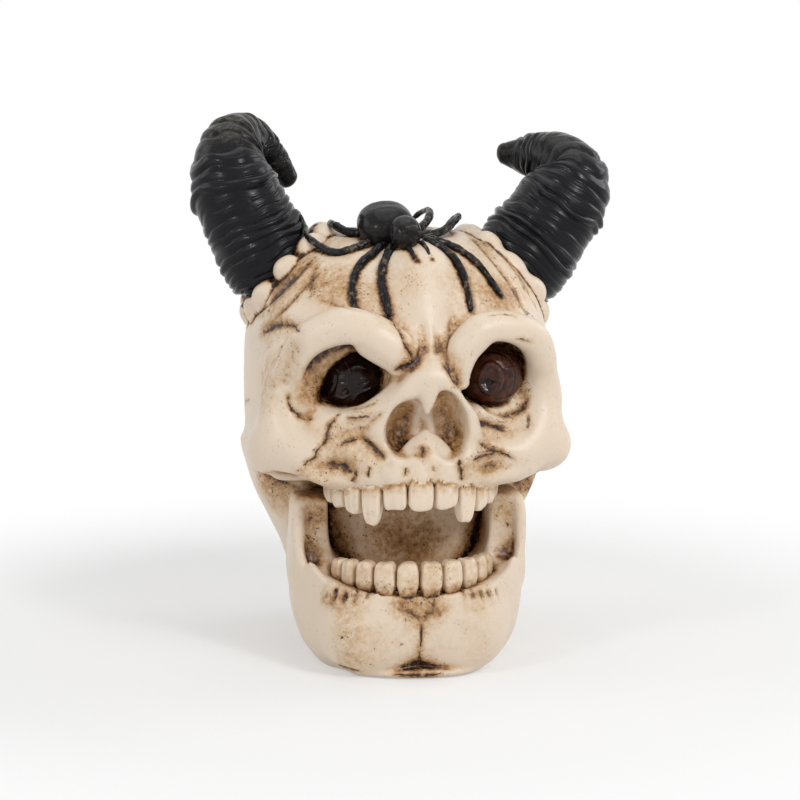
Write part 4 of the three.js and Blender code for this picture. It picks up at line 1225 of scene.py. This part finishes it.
def bead_ring(name, side, tree, dice):
    """The form of a ring of beads round a horn's foot, each of them set on the skull."""
    axis = horn_axis(side)
    out, back, up, radius = HORN_LINES[name][0]
    centre = horn_seat(side) + np.array([side * out, back, up])
    across = np.array([0, 1, 0])
    along = np.cross(axis, across)
    beads = []
    for i in range(BEADS):
        turn = BEAD_START[name] + 2 * math.pi * (i + dice.uniform(-0.12, 0.12)) / BEADS
        outwards = across * math.cos(turn) + along * math.sin(turn)
        spot, inwards = on_skull(tree, centre + (radius + BEAD_REACH) * outwards)
        basis = np.column_stack([np.cross(axis, outwards), -outwards, axis])
        size = np.array(BEAD[name]) * [dice.uniform(0.88, 1.06) for _ in range(3)]
        beads.append((spot + BEAD_SINK * inwards, size, basis @ turned(y=dice.uniform(-14, 14))))

    def ring(spots):
        form = ball(spots, *beads[0], BEAD_SQUARENESS)
        for bead in beads[1:]:
            form = joined(form, ball(spots, *bead, BEAD_SQUARENESS), BEAD_BLEND[name])
        return form

    return ring


class FIGURINE_OT_collars(bpy.types.Operator):
    """Model the ring of pebble beads round each horn's foot"""

    bl_idname = "figurine.collars"
    bl_label = "Horn collars"

    def execute(self, context):
        skull = bpy.data.objects["skull_bone"].data
        tree = tree_of(skull)
        for seed, (name, side) in enumerate(SIDES.items()):
            node = f"horn_collar_{name}"
            low, high = node_box(node)
            ring = bead_ring(name, side, tree, random.Random(40 + seed))
            mesh = modelled(ring, low - 6, high + 6, BEAD_VOXEL)
            # Wash, and painted shade made strong here, where the skull and the horn hide the sky round each
            # bead.
            wash_and_shade(mesh, tree_of(mesh, skull, frame["nodes"][f"horn_{name}"].data), 0.0, 0.06, 2.8)
            without_seams(mesh)
            finished(f"{node}_beads", mesh, "antiqued_and_shaded_bone", node)
        return {"FINISHED"}


# The teeth.

ARCHES = {"upper": (24.3, 25.3, -31.0), "lower": (23.3, 22.3, -31.0)}
CANINES = ("upper_tooth_right_2", "upper_tooth_left_2")
TOOTH_CUTS = 13


def rounded_box(shape, cuts):
    """Points of a cube with rounded edges, made from a bmesh's cube."""
    bmesh.ops.create_cube(shape, size=2)
    bmesh.ops.subdivide_edges(shape, edges=shape.edges, cuts=cuts, use_grid_fill=True)
    unit = np.array([vert.co[:] for vert in shape.verts])
    for power in (5, 4.6):
        unit = unit / ((np.abs(unit) ** power).sum(1) ** (1 / power))[:, None]
    return unit


def tooth_widths(name, crown, share):
    """How wide and how thick a tooth is along its crown: chisel-edged, pointed or lumpy."""
    wide, thick = 1.06 - 0.05 * (1 - crown) ** 2, 1 - 0.3 * crown**2
    if name in CANINES:
        wide, thick = 1.1 - 0.38 * crown**2.4, 1 - 0.36 * crown**2
    elif name[-1] in "345" or name.startswith("lower"):
        wide, thick = 1.07 - 0.09 * crown**3, 1 - 0.14 * crown**3
    neck = 0.82 + 0.18 * np.clip((share - 0.22) / 0.2, 0, 1)
    return wide * neck, thick * neck


def tooth_mesh(name, dice):
    """One tooth's mesh, and how far along its crown each vertex lies, from 0 at the gum to 1."""
    row = name.split("_")[0]
    low, high = node_box(name)
    middle = (low + high) / 2
    rx, ry, cy = ARCHES[row]
    along = np.array([-(middle[1] - cy) / ry * rx, middle[0] / rx * ry, 0])
    along /= np.linalg.norm(along)
    facing = np.array([along[1], -along[0], 0])
    node = mesh_spots(frame["nodes"][name].data) - middle
    width, depth = np.abs(node @ along).max(), np.abs(node @ facing).max()
    up = 1 if row == "lower" else -1
    shape = bmesh.new()
    unit = rounded_box(shape, TOOTH_CUTS)
    share = np.clip(0.5 + 0.5 * up * unit[:, 2], 0, 1)
    crown = np.clip((share - 0.3) / 0.7, 0, 1)
    wide, thick = tooth_widths(name, crown, share)
    lean = dice.uniform(-0.06, 0.06)
    x = unit[:, 0] * wide * width * dice.uniform(0.95, 1.02) + lean * crown * width
    y = unit[:, 1] * thick * depth
    edge = 0.1 * dice.uniform(-1, 1) * unit[:, 0] + 0.06 * np.sin(3.3 * unit[:, 0] + dice.uniform(0, 6))
    z = unit[:, 2] * (high[2] - low[2]) / 2 - up * np.clip(edge, -0.1, 0.1) * crown**3 * 4
    z = np.clip(z, low[2] - middle[2], high[2] - middle[2])
    grooves = 0.16 * np.cos(unit[:, 0] * 7 + dice.uniform(-0.6, 0.6))
    y = y + grooves * crown * np.clip(unit[:, 1] * 1.2, 0, 1)
    spots = middle + np.outer(x, along) + np.outer(y, facing) + np.outer(z, (0, 0, 1))
    for vert, spot in zip(shape.verts, spots):
        vert.co = Vector(spot) * MM
    return mesh_of(shape, name), share


class FIGURINE_OT_teeth(bpy.types.Operator):
    """Shape every tooth, chisel-edged in front, pointed at the canines and lumpy at the back"""

    bl_idname = "figurine.teeth"
    bl_label = "Teeth"

    def execute(self, context):
        nodes = frame["nodes"]
        bones = tree_of(*(bpy.data.objects[bone].data for bone in ("skull_bone", "lower_jaw_bone")))
        for seed, name in enumerate(sorted(name for name in nodes if "_tooth_" in name)):
            mesh, share = tooth_mesh(name, random.Random(70 + seed))
            row = name.split("_")[0]
            others = [node.data for other, node in nodes.items() if other.startswith(row) and other != name]
            # Wash at the gum line, and painted shade where the bones and the neighbouring teeth hide the
            # sky, between the teeth and under the bone.
            near = shelter(mesh, bones, 5.0, 12) + shelter(mesh, tree_of(*others), 4.0, 12)
            at_gum, all_over = (0.3, 0.2) if row == "lower" else (0.1, 0.03)
            amount = at_gum * np.clip((0.5 - share) / 0.3, 0, 1) + 0.95 * np.clip(near - 0.16, 0, 1)
            put_values(mesh, "wash_and_shade", amount + 0.14 * rough(mesh_spots(mesh), 2.5, seed) + all_over)
            without_seams(mesh)
            finished(f"{name}_ivory", mesh, "antiqued_and_shaded_ivory", name)
        return {"FINISHED"}


# The eyes.

EYE_STROKES = {
    "right": [
        (0.5, 0.6, 0.0, [(318, 372), (332, 368), (345, 372), (356, 366), (372, 370)]),
        (0.5, -0.4, 0.7, [(320, 392), (332, 384), (344, 382), (356, 386), (370, 380)]),
        (0.5, 0.6, 0.0, [(322, 402), (334, 396), (344, 398), (352, 392)]),
        (0.5, 0.55, 0.0, [(352, 404), (358, 394), (368, 390), (378, 384)]),
        (0.6, -0.45, 0.7, [(330, 366), (336, 376), (334, 388), (328, 398)]),
        (0.5, 0.55, 0.0, [(346, 360), (350, 372), (348, 384)]),
        (1.5, -1.1, 1.0, [(344, 389), (346, 391), (348, 390)]),
    ],
    "left": [
        (1.0, 0.7, 0.0, [
            (480, 379), (483, 369), (490, 364), (498, 368), (501, 379), (497, 390), (489, 393), (482, 388),
            (480, 379),
        ]),
        (2.9, -1.4, 1.0, [(486, 379), (488, 381), (489, 379)]),
        (0.5, -0.3, 0.6, [
            (472, 366), (478, 357), (488, 352), (500, 353), (510, 360), (515, 372), (513, 388), (506, 399),
        ]),
        (0.5, 0.25, 0.0, [(504, 372), (510, 368), (518, 366)]),
        (0.5, 0.25, 0.0, [(503, 388), (510, 392), (516, 398)]),
        (0.5, 0.25, 0.0, [(484, 398), (482, 404)]),
    ],
}


class FIGURINE_OT_eyes(bpy.types.Operator):
    """Shape the two glossy eyeballs, with a pupil, an iris ring and folds"""

    bl_idname = "figurine.eyes"
    bl_label = "Eyeballs"

    def execute(self, context):
        for seed, name in enumerate(SIDES):
            low, high = node_box(f"eyeball_{name}")
            half = (high[0] - low[0]) / 2
            centre = Vector(((low[0] + high[0]) / 2, high[1] - half, (low[2] + high[2]) / 2))
            shape = bmesh.new()
            place = Matrix.Translation(centre * MM)
            bmesh.ops.create_icosphere(shape, subdivisions=6, radius=(half - 0.1) * MM, matrix=place)
            mesh = mesh_of(shape, f"eyeball_{name}")
            roughened(mesh, 0.12, 3.0, seed + 20, 0.12)
            stain = sculpted(mesh, EYE_STROKES[name], 30 + seed)
            put_values(mesh, "wash_and_shade", stain + 0.5 * np.clip(hollows(mesh, 10) / 0.1, 0, 1))
            finished(f"eyeball_{name}_gloss", mesh, f"eye_gloss_{name}", f"eyeball_{name}")
        return {"FINISHED"}


# The spider.

ABDOMEN = ((-5, -18, 127), (8.6, 9.4, 6.4))
SPIDER_HEAD = ((-1, -28.5, 123), (5, 5.8, 4.8))
FANG_ROUTES = {
    "spider_fang_right": [(-1, -31, 121.5), (0, -33, 119.9), (0.8, -34.8, 118.4)],
    "spider_fang_left": [(3, -30, 121.5), (4.2, -32, 120.2), (5, -33.6, 119)],
}
LEG_ROUTES = {
    "spider_leg_right_1": [
        (-4.5, -29.5, 122.5), (-7.5, -34, 119), (-8.7, -37, 114.5), (-8.5, -42.5, 110), (-7.5, -45, 105),
    ],
    "spider_leg_right_2": [
        (-6, -26, 123.5), (-14, -32.5, 119), (-16.5, -36, 114.5), (-17.3, -38.5, 111), (-17, -42.5, 107),
    ],
    "spider_leg_right_3": [
        (-8, -22, 125.5), (-16.5, -26, 122.5), (-21.5, -25, 122), (-25, -19, 123), (-27, -11, 124),
    ],
    "spider_leg_right_4": [
        (-12, -17, 127), (-16.5, -14, 127.5), (-19, -8, 128), (-19, -1, 128), (-17, 6, 128),
    ],
    "spider_leg_left_1": [
        (4, -27.5, 123), (11, -30, 121.5), (14.5, -34, 117.5), (16, -40, 112), (16.5, -43, 106),
    ],
    "spider_leg_left_2": [
        (4.5, -24, 124.5), (13, -24.5, 124), (19, -30, 120.5), (23, -34, 115.5), (26.5, -37, 109.5),
    ],
    "spider_leg_left_3": [
        (4.5, -20.5, 126), (11, -18.5, 126.5), (15.5, -13, 127.5), (17.5, -5, 128), (16.5, 3, 128),
    ],
    "spider_leg_left_4": [(4, -16, 127), (8, -10.5, 128), (9.5, -4, 128.5), (8.5, 3, 129), (6, 9, 129)],
}
LEG_LIFTS = {
    "spider_leg_right_4": (0, 1, 2.5, 2, 0),
    "spider_leg_left_3": (0, 1.2, 3.6, 4.2, 1),
    "spider_leg_left_4": (0, 2.2, 4.4, 4, 1),
}
CLIMBING_LEG = "spider_leg_right_3"
CLIMB = [(309, 238), (304, 226), (300, 214)]
SPIDER_EYES = [
    (-0.9, 0.75, 1.15), (0.9, 0.75, 1.15), (-1.9, 0.45, 0.8), (1.9, 0.45, 0.8), (-0.7, 0.25, 0.75),
    (0.7, 0.25, 0.75),
]
BODY_SINK = 0.4
LIMB_SINK = 0.35
FANG_RADIUS, FANG_TIP = 0.95, 0.4
KNUCKLE = 0.16
LIMB_GRID = (110, 24)
BODY_VOXEL = 0.4


class FIGURINE_OT_spider(bpy.types.Operator):
    """Model the black spider on the crown: body, head with its eyes, fangs and eight jointed legs"""

    bl_idname = "figurine.spider"
    bl_label = "Spider"

    def execute(self, context):
        settings = context.scene.figurine_spider
        tree = tree_of(bpy.data.objects["skull_bone"].data)
        self.body("spider_abdomen", tree, *ABDOMEN, self.abdomen)
        self.body("spider_head", tree, *SPIDER_HEAD, self.head)
        for seed, (name, route) in enumerate(FANG_ROUTES.items()):
            self.limb(name, tree, route, FANG_RADIUS, FANG_TIP, seed + 50, 0.0)
        for seed, (name, route) in enumerate(LEG_ROUTES.items()):
            self.limb(name, tree, route, settings.leg_radius, settings.tip_radius, seed + 60, KNUCKLE)
        return {"FINISHED"}

    def body(self, name, tree, point, radii, form):
        """A part of the body that stands on the skull, a little sunk in."""
        spot, inwards = on_skull(tree, point)
        centre = spot - inwards * radii[2] * (1 - BODY_SINK)
        turn = np.array(Vector((0, 0, 1)).rotation_difference(Vector(-inwards)).to_matrix())
        reach = max(radii) + 2
        mesh = modelled(
            lambda spots: form(spots, centre, radii, turn), centre - reach, centre + reach, BODY_VOXEL
        )
        roughened(mesh, 0.05, 1.6, 44)
        put_values(mesh, "dust", 0.05 * raised(mesh, 8, 0.06))
        finished(f"{name}_black", mesh, "black_spider", name)

    def abdomen(self, spots, centre, radii, turn):
        """A plump body with shallow folds across it."""
        form = ball(spots, centre, np.array(radii) - 0.15, turn, 2.2)
        local = (spots - centre) @ turn
        return form + 0.12 * np.sin(local[:, 1] * 0.95 + 0.6) * np.exp(-((local[:, 0] / 7) ** 2))

    def head(self, spots, centre, radii, turn):
        """A domed head with a cluster of eyes in front."""
        form = ball(spots, centre, np.array(radii) - 0.35, turn, 2.2)
        ahead = np.array([0.35, -1, 0])
        ahead /= np.linalg.norm(ahead)
        beside_it = np.array([ahead[1], -ahead[0], 0])
        for across, height, radius in SPIDER_EYES:
            level = math.sqrt(max(0.05, 1 - height**2 - (across / radii[0]) ** 2))
            spot = ahead * level * (radii[1] - 0.7) - beside_it * across
            spot = spot + np.array([0, 0, height * (radii[2] - 0.7)])
            form = joined(form, ball(spots, centre + turn @ spot, (radius,) * 3), 0.5)
        return form

    def limb(self, name, tree, route, radius, tip, seed, knuckle):
        """A fang, or with knuckles a leg, along a route over the skull."""
        points = []
        for point, lift in zip(route, LEG_LIFTS.get(name, (0,) * len(route))):
            spot, inwards = on_skull(tree, point)
            points.append(spot - inwards * (lift + radius * (1 - 2 * LIMB_SINK)))
        if name == CLIMBING_LEG:
            under = ("skull_bone", "horn_right_ridged", "horn_collar_right_beads")
            surface = tree_of(*(bpy.data.objects[piece].data for piece in under))
            points = points[:3] + list(seen_on(surface, CLIMB))
        line = smooth_line(points, 0.4)
        line = np.column_stack([line, radius + (tip - radius) * line_shares(line)])

        def jointed(along, angle, width):
            joints = np.exp(-((((along * 4 + 0.1) % 1 - 0.5) / 0.16) ** 2))
            rubbed = tube_noise(angle, 26 * along, seed, 1.1)
            ends = round_end(along, 0.94) * round_end(1 - along, 0.96)
            return width * (0.94 + knuckle * joints + 0.1 * rubbed) * ends

        mesh = rolled_grid(name, *LIMB_GRID, tube_place(line, jointed))
        spots = mesh_spots(mesh)
        flecks = np.clip(rough(spots, 2.6, seed + 5) * 1.6 - 0.1, 0, 1)
        tipped = 0 if knuckle else np.clip((spots[:, 2].max() - spots[:, 2]) / 4 - 0.6, 0, 1)
        put_values(mesh, "dust", 0.8 * flecks * (0.35 + 0.65 * raised(mesh, 6, 0.05)) + tipped)
        finished(f"{name}_black", mesh, "black_spider", name)


# The stage.

FLOOR_RADIUS = 3.0
FLOOR_FADE = (0.05, 0.26)
FLOOR_WHITE = 0.35
LIGHT_AIM = Vector((0, 0, 0.08))
WHITE = (1, 1, 1, 1)
WORLD_LIGHT = 0.3
# Each lamp's name, place in metres, size and power.
LAMPS = [
    ("key", (0.5, -0.75, 0.75), 0.5, 3.5),
    ("fill", (-0.75, -0.6, 0.4), 0.6, 0.9),
    ("side_left_of_figure", (0.75, 0.2, 0.45), 0.4, 1.4),
    ("side_right_of_figure", (-0.75, 0.15, 0.5), 0.4, 0.9),
    ("top", (0.0, 0.1, 0.95), 0.6, 1.6),
    ("glint", (0.42, -0.7, 0.62), 0.09, 1.5),
    ("glint_side", (-0.6, -0.5, 0.55), 0.09, 0.9),
    ("glint_low", (0.22, -0.8, 0.2), 0.06, 0.14),
]


class FIGURINE_OT_stage(bpy.types.Operator):
    """Set up the camera, the pale floor and the studio light"""

    bl_idname = "figurine.stage"
    bl_label = "Stage"

    def execute(self, context):
        scene = context.scene
        stage = scene.figurine_stage
        back = view_basis(stage)[0]
        camera = self.placed(scene, bpy.data.cameras.new("camera"), -back)
        camera.location = (Vector(stage.target) + back * stage.distance) * MM
        camera.data.lens = stage.lens
        camera.data.sensor_width = stage.sensor
        camera.data.clip_start = 0.01
        scene.camera = camera
        shape = bmesh.new()
        bmesh.ops.create_circle(shape, cap_ends=True, segments=96, radius=FLOOR_RADIUS)
        mesh = bpy.data.meshes.new("floor")
        shape.to_mesh(mesh)
        shape.free()
        mesh.materials.append(self.floor_material(stage))
        plane = bpy.data.objects.new("floor", mesh)
        scene.collection.objects.link(plane)
        for name, place, size, power in LAMPS:
            lamp = bpy.data.lights.new(name, "AREA")
            lamp.size = size
            lamp.energy = power
            self.placed(scene, lamp, LIGHT_AIM - Vector(place)).location = place
        self.surround(scene)
        scene.view_settings.view_transform = "Standard"
        return {"FINISHED"}

    def placed(self, scene, data, aim):
        """A new object for a camera or a lamp, looking along an aim."""
        thing = bpy.data.objects.new(data.name, data)
        thing.rotation_mode = "QUATERNION"
        thing.rotation_quaternion = aim.to_track_quat("-Z", "Y")
        scene.collection.objects.link(thing)
        return thing

    def floor_material(self, stage):
        """Pale floor that takes the figure's shadow near it and is seen as plain white farther out."""
        nodes, shader = new_material("floor_white")
        nodes.feed(shader, {"Base Color": (*stage.floor, 1), "Roughness": 0.9})
        away = nodes.add("ShaderNodeVectorMath", {0: nodes.where}, operation="LENGTH").outputs["Value"]
        white = nodes.add("ShaderNodeEmission", {"Color": WHITE, "Strength": 1.0})
        open_floor = nodes.larger(nodes.level(away, *FLOOR_FADE), FLOOR_WHITE)
        far = nodes.times(open_floor, nodes.seen_directly())
        nodes.feed(nodes.output, {"Surface": nodes.shaders_mixed(far, shader, white)})
        return nodes.material

    def surround(self, scene):
        """A world that lights softly and shows white behind the figure."""
        scene.world = bpy.data.worlds.new("studio")
        scene.world.use_nodes = True
        nodes = Nodes(scene.world.node_tree)
        soft = nodes.add("ShaderNodeBackground", {"Color": WHITE, "Strength": WORLD_LIGHT})
        white = nodes.add("ShaderNodeBackground", {"Color": WHITE, "Strength": 1.0})
        mix = nodes.shaders_mixed(nodes.seen_directly(), soft, white)
        nodes.add("ShaderNodeOutputWorld", {"Surface": mix})


# The sidebar and the order of work.

GROUPS = {
    "figurine_skull": FigurineSkullSettings,
    "figurine_horn": FigurineHornSettings,
    "figurine_spider": FigurineSpiderSettings,
    "figurine_stage": FigurineStageSettings,
}
PANEL_ROWS = {
    "figurine_skull": (FIGURINE_OT_skull, FIGURINE_OT_jaw, FIGURINE_OT_teeth, FIGURINE_OT_eyes),
    "figurine_horn": (FIGURINE_OT_horns, FIGURINE_OT_collars),
    "figurine_spider": (FIGURINE_OT_spider,),
    "figurine_stage": (FIGURINE_OT_stage,),
}


class FIGURINE_PT_panel(bpy.types.Panel):
    """The figurine's settings and steps"""

    bl_label = "Figurine"
    bl_idname = "FIGURINE_PT_panel"
    bl_space_type = "VIEW_3D"
    bl_region_type = "UI"
    bl_category = "Figurine"

    def draw(self, context):
        for group, steps in PANEL_ROWS.items():
            for name in GROUPS[group].__annotations__:
                self.layout.prop(getattr(context.scene, group), name)
            for step in steps:
                self.layout.operator(step.bl_idname)


CLASSES = [*GROUPS.values(), *(step for steps in PANEL_ROWS.values() for step in steps), FIGURINE_PT_panel]


def register():
    for kind in CLASSES:
        bpy.utils.register_class(kind)
    for name, kind in GROUPS.items():
        setattr(bpy.types.Scene, name, PointerProperty(type=kind))


def unregister():
    for name in GROUPS:
        delattr(bpy.types.Scene, name)
    for kind in reversed(CLASSES):
        bpy.utils.unregister_class(kind)


def main():
    register()
    add_materials()
    bpy.ops.figurine.stage()
    bpy.ops.figurine.skull()
    bpy.ops.figurine.jaw()
    bpy.ops.figurine.horns()
    bpy.ops.figurine.collars()
    bpy.ops.figurine.teeth()
    bpy.ops.figurine.eyes()
    bpy.ops.figurine.spider()


if __name__ == "__main__":
    main()
